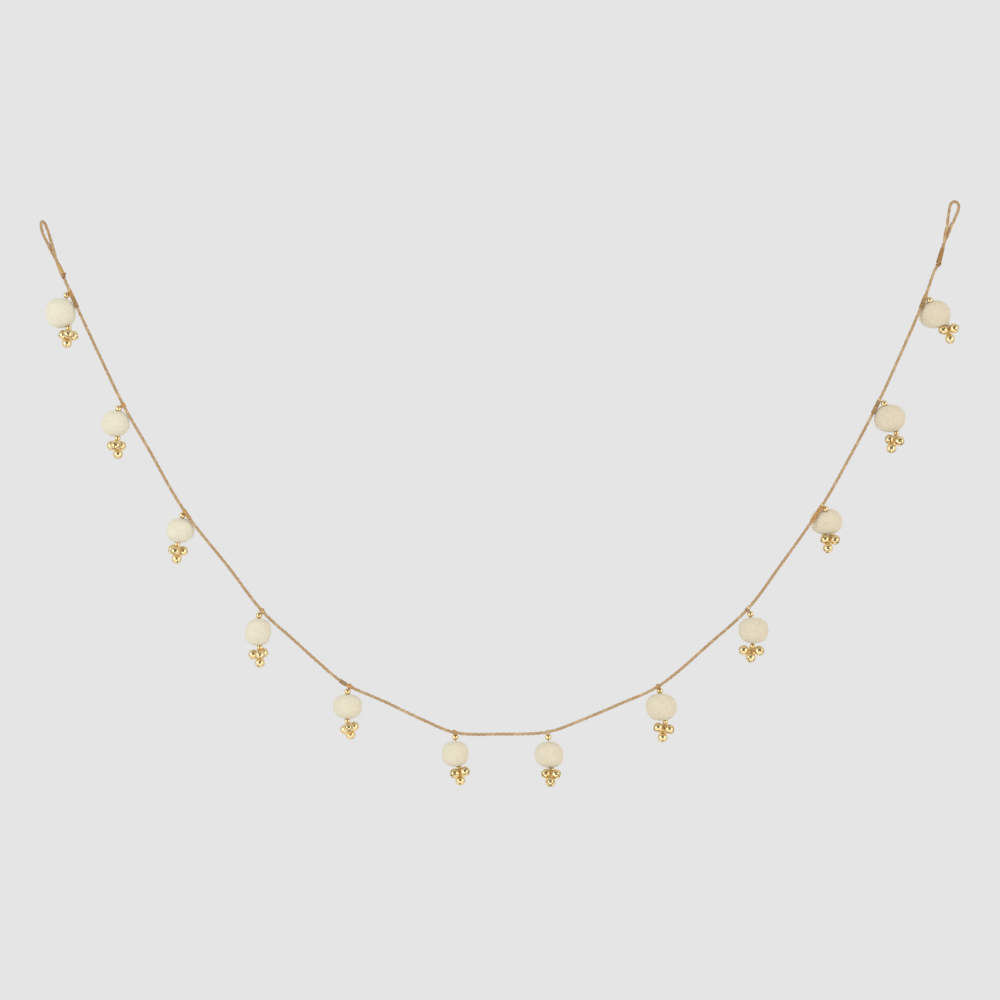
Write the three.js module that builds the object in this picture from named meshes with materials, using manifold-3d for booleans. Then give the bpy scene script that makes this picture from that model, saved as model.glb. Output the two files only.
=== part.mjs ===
// Felt ball garland: a twisted cord in a swag, with a hanging loop at each end and twelve pendants.
// Each pendant is a thread tied round the cord that carries a gold bead, a felt ball, a second gold
// bead and a cluster of four jingle bells. Units are millimetres, +Z is up and +Y points to the wall.
// The origin is the inside top of the left loop, where the garland hangs.

import * as THREE from 'three';
import { mergeVertices } from 'three/addons/utils/BufferGeometryUtils.js';
import Module from 'manifold-3d';

const wasm = await Module();
wasm.setup();

// Cord
const CORD_RADIUS = 1.45;
const CORD_SIDES = 8;
const CLEARANCE = 0.33;
const STRAND_OFFSET = 1.7;
const LOOP_RADIUS = 6;
const LOOP_ARC_STEPS = 4;
const SWAG_STEP = 42;
const END_STEP = 7.5;
const CURVE_SAMPLES = 4000;

// Whippings and knots at the ends
const WHIPPING_HALF_WIDTH = 2.6;
const WHIPPING_HALF_DEPTH = 4.5;
const WHIPPING_RIDGE = 0.2;
const WHIPPING_TURNS = 4;
const WHIPPING_SIDES = 12;
const WHIPPING_START = 3;
const WHIPPING_CORE_WIDTH = 1.8;
const WHIPPING_CORE_DEPTH = 2;
const WHIPPING_TO_KNOT = 2.2;
const KNOT_RING_RADIUS = 2.35;
const KNOT_THREAD_RADIUS = 0.75;
const KNOT_STUB_LENGTH = 2.6;
const KNOT_STUB_TAPER = 0.8;
const KNOT_STUB_SINK = 0.4;
const KNOT_RING_SIDES = 5;
const KNOT_RING_STEPS = 8;
const KNOT_STUB_SIDES = 6;

// Pendants
const WINDING_RADIUS = 2.3;
const WINDING_RIDGE = 0.22;
const WINDING_PITCH = 4;
const WINDING_SIDES = 8;
const WINDING_MARGIN = 1.2;
const THREAD_RADIUS = 0.6;
const THREAD_SIDES = 6;
const BORE_RADIUS = THREAD_RADIUS + 0.4;
const DENT_CLEARANCE = 0.4;
const TOP_BEAD_RADIUS = 3.3;
const LOW_BEAD_RADIUS = 3.0;
const BALL_DETAIL = 2;
const BALL_DEPTH_SHARE = 0.97;
const BALL_LUMP = 0.035;
const BALL_SQUARENESS = 2.3;
const BALL_CORNER_REACH = 1.04;
const LUMP_WAVES = { x: 2.3, y: 3.1, z: 2.9 };
const LUMP_SHIFTS = { x: 1.0, y: 2.1, z: -1.7 };
const BEAD_SEGMENTS = 8;
const BEAD_ROWS = 5;
const SEAT_GAP = 0.3;
const LOW_BEAD_SHARE = 0.8;

// Jingle bells
const BELL_RADIUS = 5.1;
const BELL_SEGMENTS = 8;
const BELL_ROWS = 4;
const BELL_SLOT_DEPTH = 0.8;
const BELL_SLOT_REACH = 0.08;
const BELL_LUG_RADIUS = 0.9;
const BELL_LUG_SIDES = 4;
const PAIR_DEPTH = 2.9;
const HANG_STEP = 0.05;
const HUB_DEPTH = 2.2;
const FRONT = -1;
const BACK = 1;

const CORD_FINISH = { color: 0xb8925f, roughness: 0.9, metalness: 0.0 };
const THREAD_FINISH = { color: 0xcdb286, roughness: 0.85, metalness: 0.0 };
const FELT_FINISH = { color: 0xe9deca, roughness: 1.0, metalness: 0.0 };
const GOLD_FINISH = { color: 0xe2b765, roughness: 0.25, metalness: 1.0 };

// Each end loop: its top, the turn of its plane away from the wall, its lean to the left, and the
// route of its two strands below the loop, from the loop down. The standing strand goes on into the
// swag. The last two places of a strand are the top and the bottom of the whipping.
const LEFT_END = {
  top: [0, 0, CORD_RADIUS],
  turn: 73,
  lean: 13,
  tail: [
    [1.0, -3.8, -11.2], [5.9, 0.3, -21.9], [9.5, 1.2, -29.5],
    [14.3, STRAND_OFFSET, -38.4], [20.5, STRAND_OFFSET, -52.0],
  ],
  standing: [
    [5.9, 3.8, -11.2], [9.5, -0.3, -21.9], [11.8, -1.2, -29.5],
    [14.3, -STRAND_OFFSET, -38.4], [20.5, -STRAND_OFFSET, -52.0],
  ],
};
const RIGHT_END = {
  top: [911.6, 0, 21.5],
  turn: 131,
  lean: 0,
  tail: [
    [911.3, -0.3, 2.6], [908.9, 1.2, -2.4], [905.7, 1.3, -10.6],
    [900.8, STRAND_OFFSET, -22.4], [895.8, STRAND_OFFSET, -40.2],
  ],
  standing: [
    [905.3, 0.9, 2.6], [904.8, -0.9, -2.4], [902.6, -1.3, -10.6],
    [900.8, -STRAND_OFFSET, -22.4], [895.8, -STRAND_OFFSET, -40.2],
  ],
};

// The swag between the whippings, as hand-placed points in the plane of the wall
const SWAG_ROUTE = [
  { x: 26.9, z: -67.4 }, { x: 59.0, z: -136.9 }, { x: 80.6, z: -181.8 }, { x: 104.8, z: -223.9 },
  { x: 141.8, z: -287.9 }, { x: 185.4, z: -343.4 }, { x: 219.6, z: -387.9 }, { x: 249.9, z: -415.8 },
  { x: 272.9, z: -436.6 }, { x: 295.5, z: -456.0 }, { x: 306.9, z: -463.2 }, { x: 343.9, z: -479.4 },
  { x: 380.6, z: -496.9 }, { x: 411.8, z: -509.3 }, { x: 457.6, z: -511.0 }, { x: 505.7, z: -508.7 },
  { x: 537.6, z: -497.5 }, { x: 577.4, z: -480.7 }, { x: 615.7, z: -463.2 }, { x: 667.4, z: -420.2 },
  { x: 705.9, z: -384.9 }, { x: 737.4, z: -342.8 }, { x: 779.9, z: -281.9 }, { x: 807.4, z: -233.4 },
  { x: 836.9, z: -176.9 }, { x: 855.4, z: -136.9 }, { x: 883.0, z: -72.8 }, { x: 891.9, z: -47.5 },
];

// Pendants, left to right. tie: where the thread is wound round the cord, with the winding's reach
// along the cord before and after it. topBead, ball, lowBead: centres, square to the wall. bells: the
// middle between the left and the right bell. spread: how far apart these two hang. rise: how far the
// right one is above the left one. third: the side where the third bell hangs, with its place from the
// middle. lowAt: the fourth bell's place from the middle.
const PENDANTS = [
  {
    tie: [26.9, -67.4], winding: [-1.5, 19.0], topBead: [23.5, -71.9],
    ball: [17.2, -89.7], size: [30, 30], lowBead: [25.9, -104.6],
    bells: [25.1, -111.9], spread: 10.2, rise: -0.8,
    third: FRONT, thirdAt: [1.3, 0.8], lowAt: [-0.9, -8.2],
  },
  {
    tie: [80.6, -181.8], winding: [-2.0, 3.0], topBead: [75.9, -185.3],
    ball: [72.6, -200.3], size: [27, 26], lowBead: [74.8, -214.9],
    bells: [72.7, -222.5], spread: 8.6, rise: 0,
    third: FRONT, thirdAt: [0.9, 0.3], lowAt: [2.3, -8.4],
  },
  {
    tie: [141.8, -287.9], winding: [-1.2, 9.5], topBead: [139.6, -292.2],
    ball: [137.1, -307.4], size: [28, 25], lowBead: [134.2, -321.1],
    bells: [134.3, -327.3], spread: 10.0, rise: -1.5,
    third: FRONT, thirdAt: [-1.7, -0.5], lowAt: [-0.7, -8.6],
  },
  {
    tie: [219.6, -387.9], winding: [-2.5, 2.5], topBead: [216.3, -392.4],
    ball: [215.5, -409.0], size: [26, 27.5], lowBead: [217.1, -424.3],
    bells: [215.4, -430.7], spread: 10.0, rise: 1.6,
    third: FRONT, thirdAt: [2.4, -0.7], lowAt: [1.8, -9.1],
  },
  {
    tie: [306.9, -463.2], winding: [-11.0, 2.5], topBead: [305.0, -468.6],
    ball: [305.0, -483.3], size: [29, 24], lowBead: [304.7, -497.8],
    bells: [306.7, -505.2], spread: 8.8, rise: 2.7,
    third: FRONT, thirdAt: [-0.2, 1.3], lowAt: [0.7, -7.4],
  },
  {
    tie: [411.8, -509.3], winding: [-2.0, 2.5], topBead: [412.7, -514.2],
    ball: [412.5, -530.7], size: [27.5, 26], lowBead: [416.4, -545.2],
    bells: [417.3, -548.9], spread: 10.2, rise: 2,
    third: BACK, thirdAt: [0, -1], lowAt: [0.4, -8.6],
  },
  {
    tie: [505.7, -508.7], winding: [-1.5, 1.5], topBead: [505.7, -514.1],
    ball: [506.6, -531.7], size: [29, 26], lowBead: [508.6, -546.6],
    bells: [508.4, -550.3], spread: 9.8, rise: 0,
    third: BACK, thirdAt: [0, -1], lowAt: [-0.8, -7.4],
  },
  {
    tie: [615.7, -463.2], winding: [-2.0, 2.0], topBead: [617.3, -467.8],
    ball: [618.5, -483.9], size: [31, 27], lowBead: [622.7, -498.6],
    bells: [621.1, -505.1], spread: 11.4, rise: -1.7,
    third: BACK, thirdAt: [0, -1], lowAt: [-1.1, -9.3],
  },
  {
    tie: [705.9, -384.9], winding: [-3.5, 1.5], topBead: [707.9, -391.1],
    ball: [710.8, -407.1], size: [30.5, 26.5], lowBead: [709.9, -422.9],
    bells: [708.6, -427.2], spread: 15.7, rise: -0.6,
    third: BACK, thirdAt: [1.0, -1.2], lowAt: [-0.9, -7.1],
  },
  {
    tie: [779.9, -281.9], winding: [-20.0, 1.0], topBead: [783.0, -285.7],
    ball: [785.2, -298.5], size: [32, 26.5], lowBead: [790.3, -310.6],
    bells: [788.2, -316.5], spread: 9.8, rise: -0.7,
    third: BACK, thirdAt: [0, -1], lowAt: [-2.6, -8.7],
  },
  {
    tie: [836.9, -176.9], winding: [-15.0, 1.0], topBead: [841.7, -180.4],
    ball: [847.6, -195.2], size: [31, 27.5], lowBead: [854.3, -209.8],
    bells: [851.8, -217.2], spread: 9.2, rise: -1.7,
    third: BACK, thirdAt: [0, -1], lowAt: [-3.5, -8.1],
  },
  {
    tie: [883.0, -72.8], winding: [-13.0, 1.0], topBead: [887.4, -76.9],
    ball: [893.3, -90.6], size: [32, 28.5], lowBead: [905.1, -99.7],
    bells: [906.9, -105.7], spread: 10.7, rise: 1.6,
    third: BACK, thirdAt: [0, -1], lowAt: [1.7, -9.6],
  },
];

const vec = (x, y, z) => new THREE.Vector3(x, y, z);
const inPlane = (point, y = 0) => vec(point[0], y, point[1]);

// A closed geometry as a solid that can be joined and cut, moved by a matrix where one is given
function solid(geometry, matrix) {
  const plain = geometry.index ? geometry.toNonIndexed() : geometry.clone();
  plain.deleteAttribute('normal');
  plain.deleteAttribute('uv');
  if (matrix) {
    plain.applyMatrix4(matrix);
  }
  const merged = mergeVertices(plain, 1e-4);
  const mesh = new wasm.Mesh({
    numProp: 3,
    vertProperties: merged.attributes.position.array,
    triVerts: new Uint32Array(merged.index.array),
  });
  return new wasm.Manifold(mesh);
}

function toGeometry(body) {
  const mesh = body.getMesh();
  const geometry = new THREE.BufferGeometry();
  geometry.setAttribute('position', new THREE.BufferAttribute(mesh.vertProperties, 3));
  geometry.setIndex(new THREE.BufferAttribute(mesh.triVerts, 1));
  geometry.computeVertexNormals();
  return geometry;
}

const joined = (parts) => parts.reduce((sum, part) => sum.add(part));
const cutBy = (body, cutters) => cutters.reduce((rest, cutter) => rest.subtract(cutter), body);

// A matrix that takes +Z to a direction and the origin to a place
function aimed(place, direction) {
  const turn = new THREE.Quaternion().setFromUnitVectors(vec(0, 0, 1), direction.clone().normalize());
  return new THREE.Matrix4().compose(place, turn, vec(1, 1, 1));
}

// A route of straight stretches between given stations, with the smooth curve's own directions
class StationPath extends THREE.Curve {
  constructor(stations, tangents) {
    super();
    this.stations = stations;
    this.tangents = tangents;
  }

  getPointAt(u) {
    return this.stations[Math.round(u * (this.stations.length - 1))].clone();
  }

  getPoint(t) {
    return this.getPointAt(t);
  }

  getTangentAt(u) {
    return this.tangents[Math.round(u * (this.stations.length - 1))].clone();
  }

  getTangent(t) {
    return this.getTangentAt(t);
  }
}

// The half circle at the top of an end loop, in the loop's turned and leaning plane
function loopArc(end) {
  const turn = THREE.MathUtils.degToRad(end.turn);
  const lean = THREE.MathUtils.degToRad(end.lean);
  const across = vec(Math.cos(turn) * Math.cos(lean), Math.sin(turn), Math.cos(turn) * Math.sin(lean));
  const up = vec(-Math.sin(lean), 0, Math.cos(lean));
  const centre = vec(...end.top).addScaledVector(up, -LOOP_RADIUS);
  const points = [];
  for (let step = 0; step <= LOOP_ARC_STEPS; step += 1) {
    const angle = Math.PI * (1 - step / LOOP_ARC_STEPS);
    const side = centre.clone().addScaledVector(across, LOOP_RADIUS * Math.cos(angle));
    points.push(side.addScaledVector(up, LOOP_RADIUS * Math.sin(angle)));
  }
  return points;
}

function cordRoutePoints() {
  const leftTail = LEFT_END.tail.map((p) => vec(...p)).reverse();
  const leftStanding = LEFT_END.standing.map((p) => vec(...p));
  const rightStanding = RIGHT_END.standing.map((p) => vec(...p)).reverse();
  const rightTail = RIGHT_END.tail.map((p) => vec(...p));
  const swag = SWAG_ROUTE.map((p) => vec(p.x, 0, p.z));
  return [...leftTail, ...loopArc(LEFT_END), ...leftStanding, ...swag,
    ...rightStanding, ...loopArc(RIGHT_END).reverse(), ...rightTail];
}

const cordCurve = new THREE.CatmullRomCurve3(cordRoutePoints(), false, 'centripetal');
cordCurve.arcLengthDivisions = CURVE_SAMPLES;
const cordLength = cordCurve.getLength();

// The curve's arc length at the sample nearest to a point
function lengthNear(point, from = 0, to = cordLength) {
  let best = from;
  let nearest = Infinity;
  for (let sample = 0; sample <= CURVE_SAMPLES; sample += 1) {
    const along = from + (to - from) * sample / CURVE_SAMPLES;
    const gap = cordCurve.getPointAt(along / cordLength).distanceTo(point);
    if (gap < nearest) {
      nearest = gap;
      best = along;
    }
  }
  return best;
}

// A strand's place at the top or the bottom of its whipping
const whipTop = (strand) => vec(...strand[strand.length - 2]);
const whipBottom = (strand) => vec(...strand[strand.length - 1]);

const leftWhipTop = lengthNear(whipTop(LEFT_END.standing));
const leftWhipEnd = lengthNear(whipBottom(LEFT_END.standing));
const rightWhipTop = lengthNear(whipTop(RIGHT_END.standing), cordLength / 2);
const rightWhipEnd = lengthNear(whipBottom(RIGHT_END.standing), cordLength / 2);

// Stations along the cord: fixed ones at the windings and whippings, and evenly spread ones between
function cordStations() {
  const tailLeft = lengthNear(whipTop(LEFT_END.tail), 0, leftWhipTop / 2);
  const tailRight = lengthNear(whipTop(RIGHT_END.tail), (rightWhipTop + cordLength) / 2, cordLength);
  const fixed = [0, tailLeft, leftWhipTop, leftWhipEnd];
  for (const pendant of PENDANTS) {
    const tie = lengthNear(inPlane(pendant.tie), leftWhipEnd, rightWhipEnd);
    pendant.along = [tie + pendant.winding[0] - WINDING_MARGIN, tie + pendant.winding[1] + WINDING_MARGIN];
    fixed.push(...pendant.along);
  }
  fixed.push(rightWhipEnd, rightWhipTop, tailRight, cordLength);
  const lengths = [fixed[0]];
  for (let index = 1; index < fixed.length; index += 1) {
    const from = fixed[index - 1];
    const to = fixed[index];
    const isLoop = index === 2 || index === fixed.length - 2;
    const step = isLoop ? END_STEP : SWAG_STEP;
    const count = Math.max(1, Math.round((to - from) / step));
    for (let part = 1; part <= count; part += 1) {
      lengths.push(from + (to - from) * part / count);
    }
  }
  return lengths;
}

const stationLengths = cordStations();
const stations = stationLengths.map((along) => cordCurve.getPointAt(along / cordLength));

// The direction at a station halves the bend between the straight stretches on both sides
function stationTangents(points) {
  return points.map((point, index) => {
    const before = points[Math.max(0, index - 1)];
    const after = points[Math.min(points.length - 1, index + 1)];
    const into = point.clone().sub(before).normalize();
    const onward = after.clone().sub(point).normalize();
    return into.add(onward).normalize();
  });
}

function polygon(radius, sides) {
  const corners = [];
  for (let side = 0; side < sides; side += 1) {
    const angle = 2 * Math.PI * side / sides;
    corners.push(new THREE.Vector2(radius * Math.cos(angle), radius * Math.sin(angle)));
  }
  return new THREE.Shape(corners);
}

function tubeAlong(points, radius, sides) {
  const path = new StationPath(points, stationTangents(points));
  const options = { steps: points.length - 1, extrudePath: path, bevelEnabled: false };
  return new THREE.ExtrudeGeometry(polygon(radius, sides), options);
}

const cordSolid = solid(tubeAlong(stations, CORD_RADIUS, CORD_SIDES));
const cordClear = solid(tubeAlong(stations, CORD_RADIUS + CLEARANCE, CORD_SIDES));

// From a place to the nearest point of the cord's middle line, seen square to the wall
function gapInView(place) {
  let nearest = new THREE.Vector2(Infinity, Infinity);
  for (let index = 1; index < stations.length; index += 1) {
    const start = new THREE.Vector2(stations[index - 1].x, stations[index - 1].z);
    const end = new THREE.Vector2(stations[index].x, stations[index].z);
    const along = end.clone().sub(start);
    const from = new THREE.Vector2(place[0], place[1]).sub(start);
    const share = THREE.MathUtils.clamp(from.dot(along) / along.lengthSq(), 0, 1);
    from.sub(along.multiplyScalar(share));
    if (from.length() < nearest.length()) {
      nearest = from;
    }
  }
  return nearest;
}

// How far behind the cord a round piece of a given width and height sits so that it just clears it
function setBack(place, size) {
  const gap = gapInView(place);
  const towards = gap.clone().normalize();
  const reach = Math.hypot(size[0] * towards.x, size[1] * towards.y) / 2 + WINDING_RADIUS + SEAT_GAP;
  return gap.length() < reach ? Math.sqrt(reach * reach - gap.lengthSq()) : 0;
}

// A matrix that lays +Y down the two strands of an end, with +Z across both
function alongStrands(top, down) {
  const side = vec(0, 1, 0).cross(down).normalize();
  return new THREE.Matrix4().makeBasis(side, down, side.clone().cross(down)).setPosition(top);
}

// The binding round both strands of an end, open between them
function whipping(top, bottom) {
  const length = top.distanceTo(bottom) - 2 * SEAT_GAP;
  const points = [new THREE.Vector2(0, 0)];
  const rows = WHIPPING_TURNS * 2;
  for (let row = 0; row <= rows; row += 1) {
    const valley = row % 2 === 0 ? WHIPPING_RIDGE / WHIPPING_HALF_WIDTH : 0;
    points.push(new THREE.Vector2(1 - valley, length * row / rows));
  }
  points.push(new THREE.Vector2(0, length));
  const lathe = new THREE.LatheGeometry(points, WHIPPING_SIDES);
  lathe.scale(WHIPPING_HALF_WIDTH, 1, WHIPPING_HALF_DEPTH);
  const core = new THREE.BoxGeometry(WHIPPING_CORE_WIDTH, 2 * length, WHIPPING_CORE_DEPTH);
  core.translate(0, length / 2, 0);
  const down = bottom.clone().sub(top).normalize();
  const place = alongStrands(top.clone().addScaledVector(down, SEAT_GAP), down);
  return solid(lathe, place).subtract(solid(core, place));
}

function knot(place, axis, stubDirection) {
  const ring = new THREE.TorusGeometry(
    KNOT_RING_RADIUS, KNOT_THREAD_RADIUS, KNOT_RING_SIDES, KNOT_RING_STEPS);
  const tip = KNOT_THREAD_RADIUS * KNOT_STUB_TAPER;
  const stub = new THREE.CylinderGeometry(tip, KNOT_THREAD_RADIUS, KNOT_STUB_LENGTH, KNOT_STUB_SIDES);
  stub.rotateX(Math.PI / 2);
  const reach = KNOT_RING_RADIUS + KNOT_STUB_LENGTH / 2 - KNOT_STUB_SINK;
  const stubPlace = place.clone().addScaledVector(stubDirection, reach);
  return joined([solid(ring, aimed(place, axis)), solid(stub, aimed(stubPlace, stubDirection))]);
}

// A winding of thread round the straight stretch of cord between two stations
function winding(from, to) {
  const axis = to.clone().sub(from);
  const length = axis.length() - 2 * WINDING_MARGIN;
  const start = from.clone().addScaledVector(axis.normalize(), WINDING_MARGIN);
  const rows = 2 * Math.max(1, Math.round(length / WINDING_PITCH));
  const points = [];
  for (let row = 0; row <= rows; row += 1) {
    const radius = WINDING_RADIUS - (row % 2 === 0 ? WINDING_RIDGE : 0);
    points.push(new THREE.Vector2(radius, length * row / rows));
  }
  const core = new THREE.LatheGeometry(
    [new THREE.Vector2(0, 0), ...points, new THREE.Vector2(0, length)], WINDING_SIDES);
  core.rotateX(Math.PI / 2);
  return solid(core, aimed(start, axis));
}

// A felt ball: a slightly squared sphere drawn to its width and height, with a few soft lumps
function feltBall(place, size, seed) {
  const ball = new THREE.IcosahedronGeometry(1, BALL_DETAIL);
  const position = ball.attributes.position;
  for (let index = 0; index < position.count; index += 1) {
    const p = vec(position.getX(index), position.getY(index), position.getZ(index));
    const sideways = Math.sin(LUMP_WAVES.x * p.x + LUMP_SHIFTS.x * seed);
    const upright = Math.cos(LUMP_WAVES.z * p.z + LUMP_SHIFTS.z * seed);
    const inward = Math.sin(LUMP_WAVES.y * p.y + LUMP_SHIFTS.y * seed);
    const lump = 1 - BALL_LUMP / 2 + BALL_LUMP * (sideways * upright + inward) / 2;
    const powers = [p.x, p.y, p.z].map((side) => Math.abs(side) ** BALL_SQUARENESS);
    const squared = (powers[0] + powers[1] + powers[2]) ** (-1 / BALL_SQUARENESS);
    p.multiplyScalar(lump * squared);
    position.setXYZ(index, p.x, p.y, p.z);
  }
  const width = size[0] / 2;
  ball.scale(width, width * BALL_DEPTH_SHARE, size[1] / 2);
  return solid(ball, new THREE.Matrix4().setPosition(place));
}

const ballOf = (place, radius) => {
  const sphere = new THREE.SphereGeometry(radius, BEAD_SEGMENTS, BEAD_ROWS);
  sphere.rotateX(Math.PI / 2);
  return solid(sphere, new THREE.Matrix4().setPosition(place));
};

// A ball with a bell's facets, grown by a clearance, that makes the dent a bell leaves in the felt
function bellDent(centre, hub) {
  const ball = new THREE.SphereGeometry(BELL_RADIUS + DENT_CLEARANCE, BELL_SEGMENTS, BELL_ROWS);
  ball.rotateX(Math.PI / 2);
  return solid(ball, aimed(centre, hub.clone().sub(centre)));
}

// Sinks the points that lie on the bell's two crossed slots, below its middle
function sinkSlots(position) {
  for (let index = 0; index < position.count; index += 1) {
    const p = vec(position.getX(index), position.getY(index), position.getZ(index));
    const isOnSlot = Math.min(Math.abs(p.x), Math.abs(p.y)) < BELL_SLOT_REACH;
    if (p.z < -BELL_SLOT_DEPTH && isOnSlot) {
      p.multiplyScalar(1 - BELL_SLOT_DEPTH / BELL_RADIUS);
      position.setXYZ(index, p.x, p.y, p.z);
    }
  }
}

// A jingle bell with crossed slots on its far side and a lug to the hub where the thread is knotted
function jingleBell(centre, hub) {
  const upward = hub.clone().sub(centre);
  const place = aimed(centre, upward);
  const shell = new THREE.SphereGeometry(BELL_RADIUS, BELL_SEGMENTS, BELL_ROWS);
  shell.rotateX(Math.PI / 2);
  sinkSlots(shell.attributes.position);
  const lug = new THREE.CylinderGeometry(
    BELL_LUG_RADIUS, BELL_LUG_RADIUS, upward.length(), BELL_LUG_SIDES);
  lug.rotateX(Math.PI / 2);
  lug.translate(0, 0, upward.length() / 2);
  return joined([solid(shell, place), solid(lug, place)]);
}

// Takes a bell forward or back from a start until it just clears the pieces hung before it
function hungClear(x, z, start, directions, hung) {
  let reach = 0;
  while (true) {
    for (const direction of directions) {
      const place = vec(x, start + direction * reach, z);
      if (hung.every(([other, radius]) => place.distanceTo(other) >= BELL_RADIUS + radius)) {
        return place;
      }
    }
    reach += HANG_STEP;
  }
}

// The centres of a cluster's four bells: the left and right ones, the third one and the low one
function bellCentres(pendant, lowBead) {
  const [x, z] = pendant.bells;
  const half = pendant.spread / 2;
  const pairDepth = lowBead.y - pendant.third * PAIR_DEPTH;
  const wanted = [
    { x: x - half, z: z - pendant.rise / 2, start: pairDepth, directions: [-pendant.third] },
    { x: x + half, z: z + pendant.rise / 2, start: pairDepth, directions: [-pendant.third] },
    { x: x + pendant.thirdAt[0], z: z + pendant.thirdAt[1], start: lowBead.y, directions: [pendant.third] },
    { x: x + pendant.lowAt[0], z: z + pendant.lowAt[1], start: lowBead.y, directions: [BACK, FRONT] },
  ];
  const hung = [[lowBead, LOW_BEAD_RADIUS]];
  for (const bell of wanted) {
    hung.push([hungClear(bell.x, bell.z, bell.start, bell.directions, hung), BELL_RADIUS]);
  }
  return hung.slice(1).map(([place]) => place);
}

const garland = new THREE.Group();

function addPiece(name, body, finish) {
  const mesh = new THREE.Mesh(toGeometry(body), new THREE.MeshStandardMaterial(finish));
  mesh.name = name;
  garland.add(mesh);
}

addPiece('cord', cordSolid, CORD_FINISH);

for (const [side, end] of [['left', LEFT_END], ['right', RIGHT_END]]) {
  const top = whipTop(end.standing).lerp(whipTop(end.tail), 0.5);
  const bottom = whipBottom(end.standing).lerp(whipBottom(end.tail), 0.5);
  const axis = bottom.clone().sub(top).normalize();
  const body = whipping(top.clone().addScaledVector(axis, WHIPPING_START), bottom);
  addPiece(`${side}_whipping`, cutBy(body, [cordClear]), THREAD_FINISH);
  const onward = side === 'left' ? WHIPPING_TO_KNOT : -WHIPPING_TO_KNOT;
  const below = lengthNear(whipBottom(end.standing)) + onward;
  const knotPlace = cordCurve.getPointAt(below / cordLength);
  const knotAxis = cordCurve.getTangentAt(below / cordLength);
  const outward = vec(0, 1, 0).cross(knotAxis).normalize().multiplyScalar(knotAxis.z < 0 ? -1 : 1);
  addPiece(`${side}_knot`, cutBy(knot(knotPlace, knotAxis, outward), [cordClear]), THREAD_FINISH);
}

// The thread runs from the winding through the top bead and the ball, and ends in the lower bead
function threadPoints(pendant, levels) {
  const along = lengthNear(inPlane(pendant.tie), leftWhipEnd, rightWhipEnd);
  const tie = cordCurve.getPointAt(along / cordLength);
  const topBead = inPlane(pendant.topBead, levels.topBead);
  const lowBead = inPlane(pendant.lowBead, levels.lowBead);
  const down = topBead.clone().sub(tie).normalize();
  return [tie.addScaledVector(down, WINDING_RADIUS - WINDING_RIDGE), topBead, lowBead];
}

function lengthened(points, extra) {
  const last = points[points.length - 1];
  const onward = last.clone().sub(points[points.length - 2]).normalize();
  return [...points.slice(0, -1), last.clone().addScaledVector(onward, extra)];
}

PENDANTS.forEach((pendant, index) => {
  const number = String(index + 1).padStart(2, '0');
  const ballReach = pendant.size.map((side) => side * BALL_CORNER_REACH);
  const levels = {
    topBead: setBack(pendant.topBead, [2 * TOP_BEAD_RADIUS, 2 * TOP_BEAD_RADIUS]),
    ball: setBack(pendant.ball, ballReach),
  };
  levels.lowBead = LOW_BEAD_SHARE * levels.ball;

  const [from, to] = pendant.along.map((along) => cordCurve.getPointAt(along / cordLength));
  const route = threadPoints(pendant, levels);
  const thread = solid(tubeAlong(route, THREAD_RADIUS, THREAD_SIDES));
  const bore = solid(tubeAlong(lengthened(route, SEAT_GAP), BORE_RADIUS, THREAD_SIDES));
  addPiece(`tie_thread_${number}`, cutBy(joined([winding(from, to), thread]), [cordClear]), THREAD_FINISH);

  const topBead = ballOf(route[1], TOP_BEAD_RADIUS);
  addPiece(`top_bead_${number}`, cutBy(topBead, [bore]), GOLD_FINISH);

  const bells = bellCentres(pendant, route[2]);
  const towardsBells = inPlane(pendant.bells, levels.lowBead).sub(route[2]).normalize();
  const hub = route[2].clone().addScaledVector(towardsBells, HUB_DEPTH);
  const cluster = joined([ballOf(route[2], LOW_BEAD_RADIUS), ...bells.map((bell) => jingleBell(bell, hub))]);
  addPiece(`bell_cluster_${number}`, cutBy(cluster, [bore]), GOLD_FINISH);

  const ballPlace = inPlane(pendant.ball, levels.ball);
  const beadDents = [[route[1], TOP_BEAD_RADIUS], [route[2], LOW_BEAD_RADIUS]]
    .map(([place, radius]) => ballOf(place, radius + DENT_CLEARANCE));
  const bellReach = Math.max(...pendant.size) / 2 + BELL_RADIUS + DENT_CLEARANCE;
  const bellDents = bells
    .filter((bell) => bell.distanceTo(ballPlace) < bellReach)
    .map((bell) => bellDent(bell, hub));
  const felt = cutBy(feltBall(ballPlace, pendant.size, index), [bore, ...beadDents, ...bellDents]);
  addPiece(`felt_ball_${number}`, felt, FELT_FINISH);
});

export default garland;
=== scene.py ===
"""Felt ball garland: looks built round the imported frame.

A twisted cord hangs in a swag with a loop at each end. Twelve pendants hang from it, each with a gold
bead, a felt ball, a second gold bead and four jingle bells. Sizes are in metres in the row frame: the
origin is the inside top of the left loop, +X runs to the right, +Y to the back and +Z up.
"""

import logging
import math
from dataclasses import dataclass, field
from enum import Enum

import bpy
import numpy as np
from mathutils import Matrix, Vector, noise


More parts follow.
